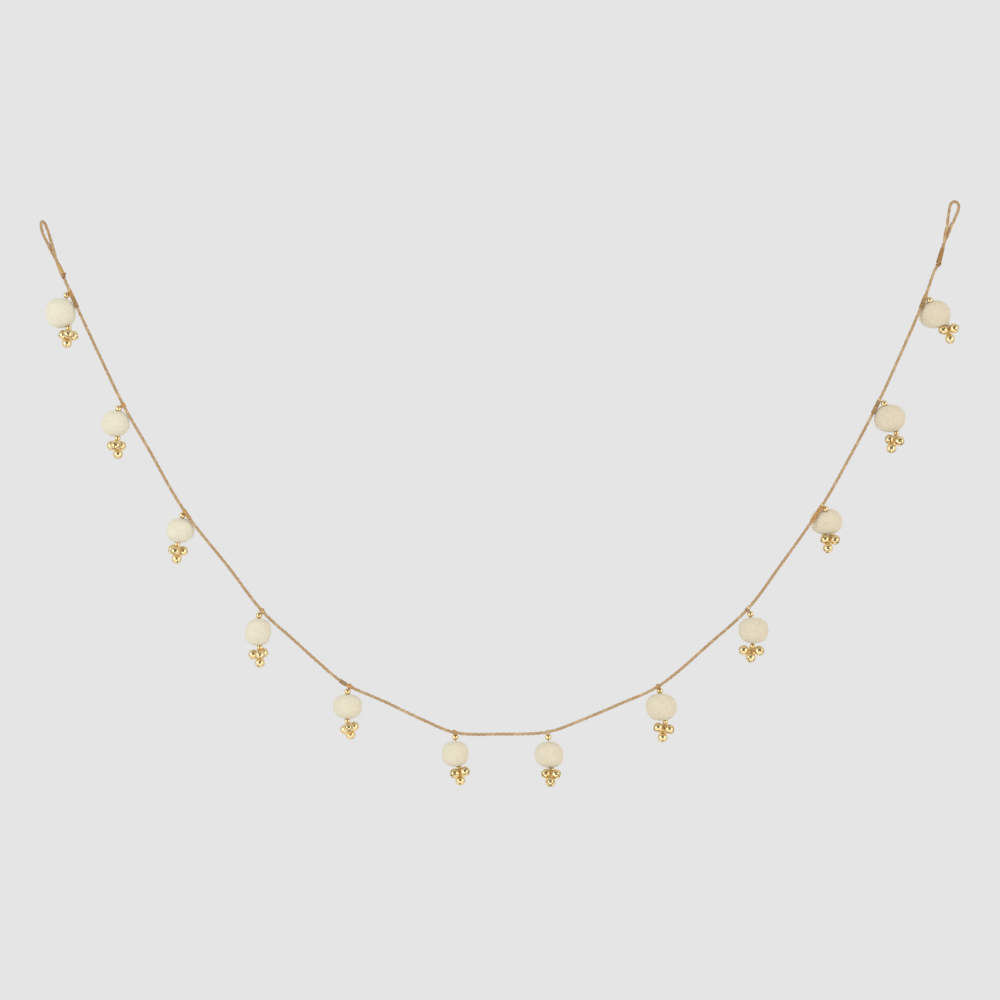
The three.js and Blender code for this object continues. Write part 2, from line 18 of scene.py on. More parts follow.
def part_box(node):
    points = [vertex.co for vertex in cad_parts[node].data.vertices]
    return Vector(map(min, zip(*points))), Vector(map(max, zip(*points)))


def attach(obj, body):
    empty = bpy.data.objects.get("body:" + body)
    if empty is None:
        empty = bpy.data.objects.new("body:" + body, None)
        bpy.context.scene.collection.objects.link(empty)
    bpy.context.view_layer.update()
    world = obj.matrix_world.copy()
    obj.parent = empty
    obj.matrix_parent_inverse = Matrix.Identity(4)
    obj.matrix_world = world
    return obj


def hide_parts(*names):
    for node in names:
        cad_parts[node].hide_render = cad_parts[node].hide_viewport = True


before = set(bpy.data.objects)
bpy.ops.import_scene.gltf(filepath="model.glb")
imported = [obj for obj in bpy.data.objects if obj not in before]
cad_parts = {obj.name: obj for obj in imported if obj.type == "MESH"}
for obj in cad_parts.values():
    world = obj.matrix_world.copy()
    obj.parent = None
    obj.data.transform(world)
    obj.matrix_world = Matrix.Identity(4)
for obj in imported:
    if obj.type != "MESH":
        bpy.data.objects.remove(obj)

LOG = logging.getLogger("garland")
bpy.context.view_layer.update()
BODY = "root"
MM = 0.001
SHORTEST = 1e-12
STEEP = 0.9
NUMBER = "NodeSocketFloat"
VECTOR = "NodeSocketVector"
COLOUR = "NodeSocketColor"

Array = np.ndarray
Place = tuple[float, float, float]
Spot = tuple[float, float]
Colour = tuple[float, float, float, float]

CORD_RADIUS = 0.00145
STRAND_OFFSET = 0.0017
LOOP_RADIUS = 0.006
TOP_BEAD_RADIUS = 0.0033
LOW_BEAD_RADIUS = 0.0030
LOW_BEAD_SHARE = 0.8
HUB_DEPTH = 0.0022
BELL_RADIUS = 0.0051
PAIR_DEPTH = 0.0029
HANG_STEP = 0.00005
BALL_SQUARENESS = 2.3


class Tone(Enum):
    """Colours of thread, as the whole part of the v coordinate on a thread's UV map."""

    PALE = 0
    BROWN = 1
    ORANGE = 2
    DARK = 3
    TAN = 4
    RUST = 5
    SAND = 6
    UMBER = 7


class Side(Enum):
    """Side of a pendant's thread where its third bell hangs."""

    FRONT = -1
    BACK = 1


@dataclass(frozen=True)
class LoopEnd:
    """One end of the cord: the loop's top and turn, and the two strands below it, from the loop down."""

    name: str
    top: Place
    turn: float
    lean: float
    tail: tuple[Place, ...]
    standing: tuple[Place, ...]
    whipping: Tone
    cross_turns: int
    knot: Tone
    knot_out: float


@dataclass(frozen=True)
class Band:
    """A stretch of the cord that is wound with thread, measured along the cord from the pendant's tie."""

    start: float
    end: float
    tone: Tone


@dataclass(frozen=True)
class Pendant:
    """Places and sizes of one pendant, seen square on."""

    tie: Spot
    bands: tuple[Band, ...]
    top_bead: Spot
    ball: Spot
    size: Spot
    low_bead: Spot
    bells: Spot
    spread: float
    rise: float
    low_at: Spot
    third: Side = Side.BACK
    third_at: Spot = (0.0000, -0.0010)
    lump: Spot | None = None


LEFT_END = LoopEnd(
    name="left",
    top=(0.0, 0.0, CORD_RADIUS),
    turn=73.0,
    lean=13.0,
    tail=((0.0010, -0.0038, -0.0112), (0.0059, 0.0003, -0.0219), (0.0095, 0.0012, -0.0295),
          (0.0143, STRAND_OFFSET, -0.0384), (0.0205, STRAND_OFFSET, -0.0520)),
    standing=((0.0059, 0.0038, -0.0112), (0.0095, -0.0003, -0.0219), (0.0118, -0.0012, -0.0295),
              (0.0143, -STRAND_OFFSET, -0.0384), (0.0205, -STRAND_OFFSET, -0.0520)),
    whipping=Tone.TAN,
    cross_turns=0,
    knot=Tone.RUST,
    knot_out=0.0026,
)
RIGHT_END = LoopEnd(
    name="right",
    top=(0.9116, 0.0, 0.0215),
    turn=131.0,
    lean=0.0,
    tail=((0.9113, -0.0003, 0.0026), (0.9089, 0.0012, -0.0024), (0.9057, 0.0013, -0.0106),
          (0.9008, STRAND_OFFSET, -0.0224), (0.8958, STRAND_OFFSET, -0.0402)),
    standing=((0.9053, 0.0009, 0.0026), (0.9048, -0.0009, -0.0024), (0.9026, -0.0013, -0.0106),
              (0.9008, -STRAND_OFFSET, -0.0224), (0.8958, -STRAND_OFFSET, -0.0402)),
    whipping=Tone.BROWN,
    cross_turns=3,
    knot=Tone.DARK,
    knot_out=0.0019,
)

SWAG_ROUTE: tuple[Spot, ...] = (
    (0.0269, -0.0674), (0.0590, -0.1369), (0.0806, -0.1818), (0.1048, -0.2239), (0.1418, -0.2879),
    (0.1854, -0.3434), (0.2196, -0.3879), (0.2499, -0.4158), (0.2729, -0.4366), (0.2955, -0.4560),
    (0.3069, -0.4632), (0.3439, -0.4794), (0.3806, -0.4969), (0.4118, -0.5093), (0.4576, -0.5110),
    (0.5057, -0.5087), (0.5376, -0.4975), (0.5774, -0.4807), (0.6157, -0.4632), (0.6674, -0.4202),
    (0.7059, -0.3849), (0.7374, -0.3428), (0.7799, -0.2819), (0.8074, -0.2334), (0.8369, -0.1769),
    (0.8554, -0.1369), (0.8830, -0.0728), (0.8919, -0.0475),
)

PENDANTS: tuple[Pendant, ...] = (
    Pendant(
        tie=(0.0269, -0.0674), top_bead=(0.0235, -0.0719), ball=(0.0172, -0.0897), size=(0.0300, 0.0300),
        low_bead=(0.0259, -0.1046), bells=(0.0251, -0.1119), spread=0.0102, rise=-0.0008, third=Side.FRONT,
        third_at=(0.0013, 0.0008), low_at=(-0.0009, -0.0082),
        bands=(Band(-0.0015, 0.0006, Tone.PALE), Band(0.0006, 0.0068, Tone.ORANGE),
               Band(0.0068, 0.0190, Tone.UMBER))),
    Pendant(
        tie=(0.0806, -0.1818), top_bead=(0.0759, -0.1853), ball=(0.0726, -0.2003), size=(0.0270, 0.0260),
        low_bead=(0.0748, -0.2149), bells=(0.0727, -0.2225), spread=0.0086, rise=0.0000, third=Side.FRONT,
        third_at=(0.0009, 0.0003), low_at=(0.0023, -0.0084), lump=(-0.0018, -0.0014),
        bands=(Band(-0.0020, 0.0030, Tone.ORANGE),)),
    Pendant(
        tie=(0.1418, -0.2879), top_bead=(0.1396, -0.2922), ball=(0.1371, -0.3074), size=(0.0280, 0.0250),
        low_bead=(0.1342, -0.3211), bells=(0.1343, -0.3273), spread=0.0100, rise=-0.0015, third=Side.FRONT,
        third_at=(-0.0017, -0.0005), low_at=(-0.0007, -0.0086),
        bands=(Band(-0.0012, 0.0026, Tone.ORANGE), Band(0.0026, 0.0095, Tone.SAND))),
    Pendant(
        tie=(0.2196, -0.3879), top_bead=(0.2163, -0.3924), ball=(0.2155, -0.4090), size=(0.0260, 0.0275),
        low_bead=(0.2171, -0.4243), bells=(0.2154, -0.4307), spread=0.0100, rise=0.0016, third=Side.FRONT,
        third_at=(0.0024, -0.0007), low_at=(0.0018, -0.0091), lump=(0.0012, 0.0018),
        bands=(Band(-0.0025, 0.0025, Tone.TAN),)),
    Pendant(
        tie=(0.3069, -0.4632), top_bead=(0.3050, -0.4686), ball=(0.3050, -0.4833), size=(0.0290, 0.0240),
        low_bead=(0.3047, -0.4978), bells=(0.3067, -0.5052), spread=0.0088, rise=0.0027, third=Side.FRONT,
        third_at=(-0.0002, 0.0013), low_at=(0.0007, -0.0074), lump=(0.0010, 0.0019),
        bands=(Band(-0.0110, -0.0040, Tone.UMBER), Band(-0.0025, 0.0025, Tone.ORANGE))),
    Pendant(
        tie=(0.4118, -0.5093), top_bead=(0.4127, -0.5142), ball=(0.4125, -0.5307), size=(0.0275, 0.0260),
        low_bead=(0.4164, -0.5452), bells=(0.4173, -0.5489), spread=0.0102, rise=0.0020,
        low_at=(0.0004, -0.0086), lump=(0.0, 0.0019),
        bands=(Band(-0.0020, 0.0025, Tone.SAND),)),
    Pendant(
        tie=(0.5057, -0.5087), top_bead=(0.5057, -0.5141), ball=(0.5066, -0.5317), size=(0.0290, 0.0260),
        low_bead=(0.5086, -0.5466), bells=(0.5084, -0.5503), spread=0.0098, rise=0.0000,
        low_at=(-0.0008, -0.0074),
        bands=(Band(-0.0015, 0.0015, Tone.PALE),)),
    Pendant(
        tie=(0.6157, -0.4632), top_bead=(0.6173, -0.4678), ball=(0.6185, -0.4839), size=(0.0310, 0.0270),
        low_bead=(0.6227, -0.4986), bells=(0.6211, -0.5051), spread=0.0114, rise=-0.0017,
        low_at=(-0.0011, -0.0093), lump=(-0.0011, 0.0017),
        bands=(Band(-0.0020, 0.0020, Tone.SAND),)),
    Pendant(
        tie=(0.7059, -0.3849), top_bead=(0.7079, -0.3911), ball=(0.7108, -0.4071), size=(0.0305, 0.0265),
        low_bead=(0.7099, -0.4229), bells=(0.7086, -0.4272), spread=0.0157, rise=-0.0006,
        third_at=(0.0010, -0.0012), low_at=(-0.0009, -0.0071),
        bands=(Band(-0.0035, -0.0010, Tone.UMBER), Band(-0.0010, 0.0015, Tone.PALE))),
    Pendant(
        tie=(0.7799, -0.2819), top_bead=(0.7830, -0.2857), ball=(0.7852, -0.2985), size=(0.0320, 0.0265),
        low_bead=(0.7903, -0.3106), bells=(0.7882, -0.3165), spread=0.0098, rise=-0.0007,
        low_at=(-0.0026, -0.0087),
        bands=(Band(-0.0200, -0.0009, Tone.ORANGE), Band(-0.0009, 0.0010, Tone.PALE))),
    Pendant(
        tie=(0.8369, -0.1769), top_bead=(0.8417, -0.1804), ball=(0.8476, -0.1952), size=(0.0310, 0.0275),
        low_bead=(0.8543, -0.2098), bells=(0.8518, -0.2172), spread=0.0092, rise=-0.0017,
        low_at=(-0.0035, -0.0081),
        bands=(Band(-0.0150, -0.0009, Tone.UMBER), Band(-0.0009, 0.0010, Tone.PALE))),
    Pendant(
        tie=(0.8830, -0.0728), top_bead=(0.8874, -0.0769), ball=(0.8933, -0.0906), size=(0.0320, 0.0285),
        low_bead=(0.9051, -0.0997), bells=(0.9069, -0.1057), spread=0.0107, rise=0.0016,
        low_at=(0.0017, -0.0096),
        bands=(Band(-0.0130, -0.0030, Tone.UMBER), Band(-0.0030, 0.0010, Tone.SAND))),
)


def unit(vectors: Array) -> Array:
    """Scales vectors to length one.

    Args:
        vectors: One vector, or an array whose last axis holds vectors.

    Returns:
        Vectors of the same directions with length one.
    """
    size = np.linalg.norm(vectors, axis=-1, keepdims=True)
    return vectors / np.maximum(size, SHORTEST)


def lengths_along(points: Array) -> Array:
    """Gives the length along a line at each of its points."""
    return np.concatenate([[0.0], np.cumsum(np.linalg.norm(np.diff(points, axis=0), axis=1))])


def read_at(steps: float | Array, along: Array, values: Array) -> Array:
    """Reads values that are known at some lengths along a line at other lengths along it."""
    return np.stack([np.interp(steps, along, values[:, axis]) for axis in range(3)], axis=-1)


def round_about(angle: Array, side: Array, up: Array) -> Array:
    """Gives the direction at each angle round a line, from its two side directions."""
    return np.cos(angle)[:, None] * side + np.sin(angle)[:, None] * up


def frames_along(points: Array) -> tuple[Array, Array]:
    """Finds two side directions at each point of a line, carried along without twist.

    Args:
        points: The line's points, one a row.

    Returns:
        The first and the second side direction at each point.
    """
    tangents = unit(np.gradient(points, axis=0))
    sides = np.empty_like(points)
    start = np.array([0.0, 1.0, 0.0]) if abs(tangents[0][1]) < STEEP else np.array([1.0, 0.0, 0.0])
    side = np.cross(start, tangents[0])
    for row, tangent in enumerate(tangents):
        side = unit(side - tangent * np.dot(side, tangent))
        sides[row] = side
    return sides, np.cross(tangents, sides)


class SmoothRoute:
    """A smooth curve through given points, measured along its length."""

    def __init__(self, points: Array, samples: int = 90) -> None:
        """Samples the curve.

        Args:
            points: The points that the curve passes through, one a row.
            samples: Number of samples between two neighbouring points.
        """
        ends = np.vstack([2 * points[0] - points[1], points, 2 * points[-1] - points[-2]])
        steps = np.linspace(0, 1, samples, endpoint=False)[:, None]
        stretches = [self._stretch(*ends[row:row + 4], steps) for row in range(len(points) - 1)]
        self.line = np.vstack([*stretches, points[-1:]])
        self.along = lengths_along(self.line)
        self.length = float(self.along[-1])

    @staticmethod
    def _stretch(a: Array, b: Array, c: Array, d: Array, steps: Array) -> Array:
        """Gives the centripetal Catmull-Rom curve between b and c.

        Args:
            a: The point before the stretch.
            b: The stretch's first point.
            c: The stretch's last point.
            d: The point after the stretch.
            steps: Shares of the stretch, as a column.

        Returns:
            One point for each share.
        """
        before, between, after = (np.linalg.norm(q - p) ** 0.5 for p, q in ((a, b), (b, c), (c, d)))
        leave = (b - a) / before - (c - a) / (before + between) + (c - b) / between
        reach = (c - b) / between - (d - b) / (between + after) + (d - c) / after
        leave, reach = leave * between, reach * between
        square = -3 * b + 3 * c - 2 * leave - reach
        cube = 2 * b - 2 * c + leave + reach
        return b + leave * steps + square * steps ** 2 + cube * steps ** 3

    def at(self, along: float | Array) -> Array:
        """Gives the point, or points, at a length along the curve."""
        return read_at(along, self.along, self.line)

    def direction(self, along: float, reach: float = 0.0015) -> Array:
        """Gives the curve's direction at a length along it, taken over a short reach on both sides."""
        return unit(self.at(along + reach) - self.at(along - reach))

    def near(self, point: Array, start: float = 0.0, end: float = math.inf) -> float:
        """Finds the length along the curve that is nearest to a point.

        Args:
            point: The point.
            start: Least length to look at.
            end: Greatest length to look at.

        Returns:
            The length along the curve.
        """
        looked_at = (self.along >= start) & (self.along <= end)
        gaps = np.linalg.norm(self.line[looked_at] - point, axis=1)
        return float(self.along[looked_at][gaps.argmin()])


class TubeSet:
    """Closed tubes in one mesh. The UV map runs along each tube in millimetres, and round it."""

    FIBRE_RINGS = 4
    FIBRE_SIDES = 3
    FIBRE_TAPER = 0.75
    FIBRE_GUIDE = (0.31, 0.52, 0.79)
    ROUND_SHARE = 0.98

    def __init__(self) -> None:
        """Starts without tubes."""
        self._points: list[Array] = []
        self._faces: list[list[int]] = []
        self._uvs: list[Array] = []
        self._count = 0

    def add(self, centres: Array, radius: float | Array, sides: int, tone: int = 0) -> None:
        """Adds one tube.

        Args:
            centres: Centres of the tube's rings, one a row.
            radius: The tube's radius, or one for each ring.
            sides: Number of points in a ring.
            tone: Whole part of the v coordinate.
        """
        side, up = frames_along(centres)
        radii = np.broadcast_to(radius, len(centres))
        self._store(centres[None], side[None], up[None], radii, lengths_along(centres)[None], sides, tone)

    def add_fibres(self, roots: Array, lean: Array, curl: Array, lengths: Array, radius: float) -> None:
        """Adds short curved fibres that taper to their tips.

        Args:
            roots: Where each fibre starts, one a row.
            lean: Each fibre's direction at its root.
            curl: How each fibre's direction changes towards its tip.
            lengths: Each fibre's length.
            radius: Radius at the root.
        """
        share = np.linspace(0, 1, self.FIBRE_RINGS)
        reach = lengths[:, None, None] * share[None, :, None]
        centres = roots[:, None] + lean[:, None] * reach + curl[:, None] * reach * share[None, :, None]
        tangents = unit(lean[:, None] + 2 * curl[:, None] * share[None, :, None])
        side = unit(np.cross(tangents, self.FIBRE_GUIDE))
        self._store(centres, side, np.cross(tangents, side), radius * (1 - self.FIBRE_TAPER * share),
                    lengths[:, None] * share, self.FIBRE_SIDES, 0)

    def _store(self, centres: Array, side: Array, up: Array, radii: Array, along: Array, sides: int,
               tone: int) -> None:
        """Keeps the rings and faces of several tubes with the same number of rings.

        Args:
            centres: Ring centres, as tubes by rings by three.
            side: First side direction at each centre.
            up: Second side direction at each centre.
            radii: One radius for each ring.
            along: Length along the tube at each centre.
            sides: Number of points in a ring.
            tone: Whole part of the v coordinate.
        """
        tubes, rings = centres.shape[:2]
        angle = 2 * math.pi * np.arange(sides) / sides
        out = round_about(angle, side[:, :, None], up[:, :, None])
        points = centres[:, :, None] + radii[:, None, None] * out
        index = self._count + np.arange(tubes * rings * sides).reshape(tubes, rings, sides)
        onward = np.roll(index, -1, axis=2)
        quads = np.stack([index[:, :-1], onward[:, :-1], onward[:, 1:], index[:, 1:]], axis=-1)
        low = tone + np.arange(sides) / sides * self.ROUND_SHARE
        high = low + self.ROUND_SHARE / sides
        start, end = along[:, :-1, None] / MM, along[:, 1:, None] / MM
        shape = (tubes, rings - 1, sides)
        corners = [np.stack([np.broadcast_to(u, shape), np.broadcast_to(v, shape)], axis=-1)
                   for u, v in ((start, low), (start, high), (end, high), (end, low))]
        self._points.append(points.reshape(-1, 3))
        self._faces.extend(quads.reshape(-1, 4).tolist())
        self._uvs.append(np.stack(corners, axis=-2).reshape(-1, 2))
        caps = np.concatenate([index[:, 0, ::-1], index[:, -1]])
        self._faces.extend(caps.tolist())
        self._uvs.append(np.tile([0.0, tone + 0.5], (caps.size, 1)))
        self._count += tubes * rings * sides

    def build(self, name: str) -> bpy.types.Object:
        """Makes the mesh object.

        Args:
            name: Name of the piece.

        Returns:
            The new object, smooth shaded.
        """
        mesh = bpy.data.meshes.new(name)
        mesh.from_pydata(np.vstack(self._points).tolist(), [], self._faces)
        layer = mesh.uv_layers.new(name="along")
        layer.data.foreach_set("uv", np.vstack(self._uvs).ravel())
        mesh.shade_smooth()
        return linked(name, mesh)


def helix(axis: Array, side: Array, depth: Array, radii: tuple[float, float], pitch: float,
          points_a_turn: int = 22, phase: float = 0.0) -> Array:
    """Lays turns of thread round a line.

    Args:
        axis: Points of the line that the thread is wound round, evenly spaced.
        side: First side direction at each point.
        depth: Second side direction at each point.
        radii: Half width and half depth of the turns.
        pitch: Distance between two turns.
        points_a_turn: Points in one turn.
        phase: Angle of the first point.

    Returns:
        The thread's points.
    """
    along = lengths_along(axis)
    turns = max(1.0, along[-1] / pitch)
    count = int(turns * points_a_turn) + 1
    steps = np.linspace(0, along[-1], count)
    angle = phase + 2 * math.pi * turns * np.linspace(0, 1, count)
    middle, across, deep = (read_at(steps, along, values) for values in (axis, side, depth))
    return middle + round_about(angle, radii[0] * across, radii[1] * deep)


def overhand(centre: Array, size: float, count: int = 48, gap: float = 0.1) -> Array:
    """Gives the points of a small overhand knot, drawn tight.

    Args:
        centre: Middle of the knot.
        size: Half width of the knot.
        count: Number of points.
        gap: Angle between each end of the thread and where the two would meet.

    Returns:
        The thread's points.
    """
    t = np.linspace(gap, 2 * math.pi - gap, count)
    shape = np.stack([np.sin(t) + 2 * np.sin(2 * t), -np.sin(3 * t), np.cos(t) - 2 * np.cos(2 * t)], axis=-1)
    return centre + shape * size / 3


def deselect() -> None:
    """Deselects every object."""
    bpy.ops.object.select_all(action="DESELECT")


def make_active(piece: bpy.types.Object) -> None:
    """Selects one object alone and makes it the active one.

    Args:
        piece: The object.
    """
    deselect()
    piece.select_set(True)
    bpy.context.view_layer.objects.active = piece


def settle(piece: bpy.types.Object) -> None:
    """Moves a piece's place into its mesh, so that its object sits at the origin, unturned.

    Args:
        piece: The piece.
    """
    bpy.context.view_layer.update()
    piece.data.transform(piece.matrix_world)
    piece.matrix_world = Matrix.Identity(4)


def apply_modifier(piece: bpy.types.Object, kind: str, **settings: object) -> None:
    """Adds a modifier and applies it.

    Args:
        piece: The piece.
        kind: The modifier's type.
        **settings: The modifier's settings.
    """
    make_active(piece)
    modifier = piece.modifiers.new(kind.lower(), kind)
    for name, value in settings.items():
        setattr(modifier, name, value)
    bpy.ops.object.modifier_apply(modifier=modifier.name)


def cut(piece: bpy.types.Object, cutter: bpy.types.Object) -> None:
    """Cuts one closed piece by another, which is then removed."""
    apply_modifier(piece, "BOOLEAN", operation="DIFFERENCE", solver="EXACT", object=cutter)
    bpy.data.objects.remove(cutter)


def join(pieces: list[bpy.types.Object]) -> bpy.types.Object:
    """Joins pieces into the first one.

    Args:
        pieces: The pieces.

    Returns:
        The first piece, with the others in it.
    """
    make_active(pieces[0])
    for piece in pieces[1:]:
        piece.select_set(True)
    bpy.ops.object.join()
    return pieces[0]


def linked(name: str, data: bpy.types.ID) -> bpy.types.Object:
    """Makes an object for a mesh, a camera or a light, and puts it in the scene.

    Args:
        name: Name of the object.
        data: What the object shows.

    Returns:
        The object.
    """
    piece = bpy.data.objects.new(name, data)
    bpy.context.scene.collection.objects.link(piece)
    return piece


def copied(model: bpy.types.Object, name: str, place: Matrix) -> bpy.types.Object:
    """Copies a model with a mesh of its own, moved by a matrix.

    Args:
        model: The model.
        name: Name of the copy.
        place: Where the copy goes.

    Returns:
        The copy, whose object sits at the origin.
    """
    mesh = model.data.copy()
    mesh.name = name
    mesh.transform(place)
    return linked(name, mesh)


def aimed(place: Array, direction: Array, spin: float = 0.0, scale: float = 1.0) -> Matrix:
    """Gives the matrix that takes +Z to a direction and the origin to a place.

    Args:
        place: Where the origin goes.
        direction: Where +Z points.
        spin: Turn round +Z first, in radians.
        scale: Size first.

    Returns:
        The matrix.
    """
    turn = Vector((0, 0, 1)).rotation_difference(Vector(unit(direction))).to_matrix().to_4x4()
    return Matrix.Translation(Vector(place)) @ turn @ Matrix.Rotation(spin, 4, "Z") @ Matrix.Scale(scale, 4)


def feed(tree: bpy.types.NodeTree, node: bpy.types.Node, inputs: dict) -> None:
    """Sets or links a node's inputs.

    Args:
        tree: The node tree.
        node: The node.
        inputs: A value or another node's output for each input, by name or number.
    """
    for key, value in inputs.items():
        if isinstance(value, bpy.types.NodeSocket):
            tree.links.new(value, node.inputs[key])
        else:
            node.inputs[key].default_value = value


def wire(tree: bpy.types.NodeTree, kind: str, inputs: dict, **settings: object) -> bpy.types.Node:
    """Adds a node, and sets or links its inputs.

    Args:
        tree: The node tree.
        kind: The node's type.
        inputs: A value or another node's output for each input, by name or number.
        **settings: The node's settings.

    Returns:
        The node.
    """
    node = tree.nodes.new(kind)
    for name, value in settings.items():
        setattr(node, name, value)
    feed(tree, node, inputs)
    return node


def maths(tree: bpy.types.NodeTree, operation: str, *values: object) -> bpy.types.NodeSocket:
    """Works out numbers or outputs with a Math node."""
    return wire(tree, "ShaderNodeMath", dict(enumerate(values)), operation=operation).outputs[0]


def mixed(tree: bpy.types.NodeTree, share: object, first: object, second: object) -> bpy.types.NodeSocket:
    """Mixes two colours, with share as how much of the second."""
    return wire(tree, "ShaderNodeMix", {0: share, 6: first, 7: second}, data_type="RGBA").outputs[2]


def multiplied(tree: bpy.types.NodeTree, colour: object, by: object) -> bpy.types.NodeSocket:
    """Multiplies a colour by another one or by a number."""
    return wire(tree, "ShaderNodeVectorMath", {0: colour, 1: by}, operation="MULTIPLY").outputs[0]


def noise_of(tree: bpy.types.NodeTree, place: bpy.types.NodeSocket, scale: object, detail: float,
             distortion: object = 0.0) -> bpy.types.NodeSocket:
    """Gives a noise at a place."""
    return wire(tree, "ShaderNodeTexNoise", {
        "Vector": place, "Scale": scale, "Detail": detail, "Distortion": distortion}).outputs[0]


def ranged(tree: bpy.types.NodeTree, value: object, low: float, high: float, first: float = 0.0,
           last: float = 1.0) -> bpy.types.NodeSocket:
    """Spreads a value between low and high evenly from first to last."""
    return wire(tree, "ShaderNodeMapRange", {0: value, 1: low, 2: high, 3: first, 4: last}).outputs[0]


def masked(tree: bpy.types.NodeTree, value: object, low: float, high: float) -> bpy.types.NodeSocket:
    """Gives a mask that goes softly from zero, where the value is low, to one, where it is high."""
    return wire(tree, "ShaderNodeMapRange", {0: value, 1: low, 2: high},
                interpolation_type="SMOOTHSTEP").outputs[0]


def bumped(tree: bpy.types.NodeTree, strength: float, distance: float,
           height: object) -> bpy.types.NodeSocket:
    """Gives the normal of a bump."""
    return wire(tree, "ShaderNodeBump", {
        "Strength": strength, "Distance": distance, "Height": height}).outputs[0]


def new_group(name: str, inputs: dict[str, str], outputs: dict[str, str]) -> tuple[
        bpy.types.NodeTree, bpy.types.NodeOutputs, bpy.types.Node]:
    """Starts a shader node group.

    Args:
        name: The group's name.
        inputs: Socket type of each input, by name.
        outputs: Socket type of each output, by name.

    Returns:
        The group's tree, the sockets that bring its inputs in, and the node that takes its outputs.
    """
    tree = bpy.data.node_groups.new(name, "ShaderNodeTree")
    for way, sockets in (("INPUT", inputs), ("OUTPUT", outputs)):
        for socket, kind in sockets.items():
            tree.interface.new_socket(name=socket, in_out=way, socket_type=kind)
    return tree, tree.nodes.new("NodeGroupInput").outputs, tree.nodes.new("NodeGroupOutput")


class SharedEffects:
    """Shader node groups that several finishes use."""

    FINER = 2.3
    FINE_SHARE = 0.6
    RIDGE_SHARPNESS = 9.0
    PATCH_SOFTNESS = 0.2
    PATCHES = (("Light", 1.0, 0.47), ("Dark", 1.7, 0.53))
    SMUDGES = (0.42, 0.68)
    DIMPLE_FACTOR = 1.8

    def __init__(self) -> None:
        """Makes the groups."""
        self.fibres = self._fibres()
        self.patches = self._patches()
        self.handling = self._handling()

    def _fibres(self) -> bpy.types.NodeTree:
        """Makes the group that draws fine curled fibres, as thin ridges of two noises.

        Returns:
            The group, with a Height and a Mask output.
        """
        tree, source, result = new_group("fine_fibres", {"Vector": VECTOR, "Scale": NUMBER, "Curl": NUMBER},
                                         {"Height": NUMBER, "Mask": NUMBER})
        heights = []
        for factor in (1.0, self.FINER):
            scale = maths(tree, "MULTIPLY", source["Scale"], factor)
            wave = noise_of(tree, source["Vector"], scale, 2.0, source["Curl"])
            away = maths(tree, "ABSOLUTE", maths(tree, "SUBTRACT", wave, 0.5))
            off_ridge = maths(tree, "MINIMUM", maths(tree, "MULTIPLY", away, self.RIDGE_SHARPNESS), 1.0)
            heights.append(maths(tree, "SUBTRACT", 1.0, off_ridge))
        height = maths(tree, "MULTIPLY_ADD", heights[1], self.FINE_SHARE, heights[0])
        feed(tree, result, {"Height": height, "Mask": maths(tree, "MINIMUM", height, 1.0)})
        return tree

    def _patches(self) -> bpy.types.NodeTree:
        """Makes the group that lets a colour drift to a lighter and a darker one in soft patches.

        Returns:
            The group, with a Color output.
        """
        tree, source, result = new_group(
            "tint_patches", {"Vector": VECTOR, "Scale": NUMBER, "Amount": NUMBER, "Base": COLOUR,
                             "Light": COLOUR, "Dark": COLOUR}, {"Color": COLOUR})
        colour = source["Base"]
        for tint, factor, start in self.PATCHES:
            scale = maths(tree, "MULTIPLY", source["Scale"], factor)
            share = masked(tree, noise_of(tree, source["Vector"], scale, 3.0), start,
                           start + self.PATCH_SOFTNESS)
            colour = mixed(tree, maths(tree, "MULTIPLY", share, source["Amount"]), colour, source[tint])
        feed(tree, result, {"Color": colour})
        return tree

    def _handling(self) -> bpy.types.NodeTree:
        """Makes the group for the light marks that handling leaves on polished metal.

        Returns:
            The group, with a Mask and a Height output.
        """
        tree, source, result = new_group("handling_marks", {"Vector": VECTOR, "Scale": NUMBER},
                                         {"Mask": NUMBER, "Height": NUMBER})
        smudges = masked(tree, noise_of(tree, source["Vector"], source["Scale"], 4.0), *self.SMUDGES)
        scale = maths(tree, "MULTIPLY", source["Scale"], self.DIMPLE_FACTOR)
        feed(tree, result, {"Mask": smudges, "Height": noise_of(tree, source["Vector"], scale, 1.0)})
        return tree


def new_material(name: str) -> tuple[bpy.types.Material, bpy.types.NodeTree, bpy.types.Node]:
    """Starts a material with a bare Principled shader.

    Args:
        name: The material's name.

    Returns:
        The material, its tree and its Principled node.
    """
    material = bpy.data.materials.new(name)
    material.use_nodes = True
    tree = material.node_tree
    return material, tree, tree.nodes["Principled BSDF"]


def group_node(tree: bpy.types.NodeTree, group: bpy.types.NodeTree, inputs: dict) -> bpy.types.Node:
    """Places a shared group in a material."""
    return wire(tree, "ShaderNodeGroup", inputs, node_tree=group)


def object_place(tree: bpy.types.NodeTree) -> bpy.types.NodeSocket:
    """Gives the Object coordinates in a material."""
    return tree.nodes.new("ShaderNodeTexCoord").outputs["Object"]


def thread_map(tree: bpy.types.NodeTree) -> bpy.types.NodeSocket:
    """Gives the map that runs along and round each strand."""
    return wire(tree, "ShaderNodeUVMap", {}, uv_map="along").outputs[0]


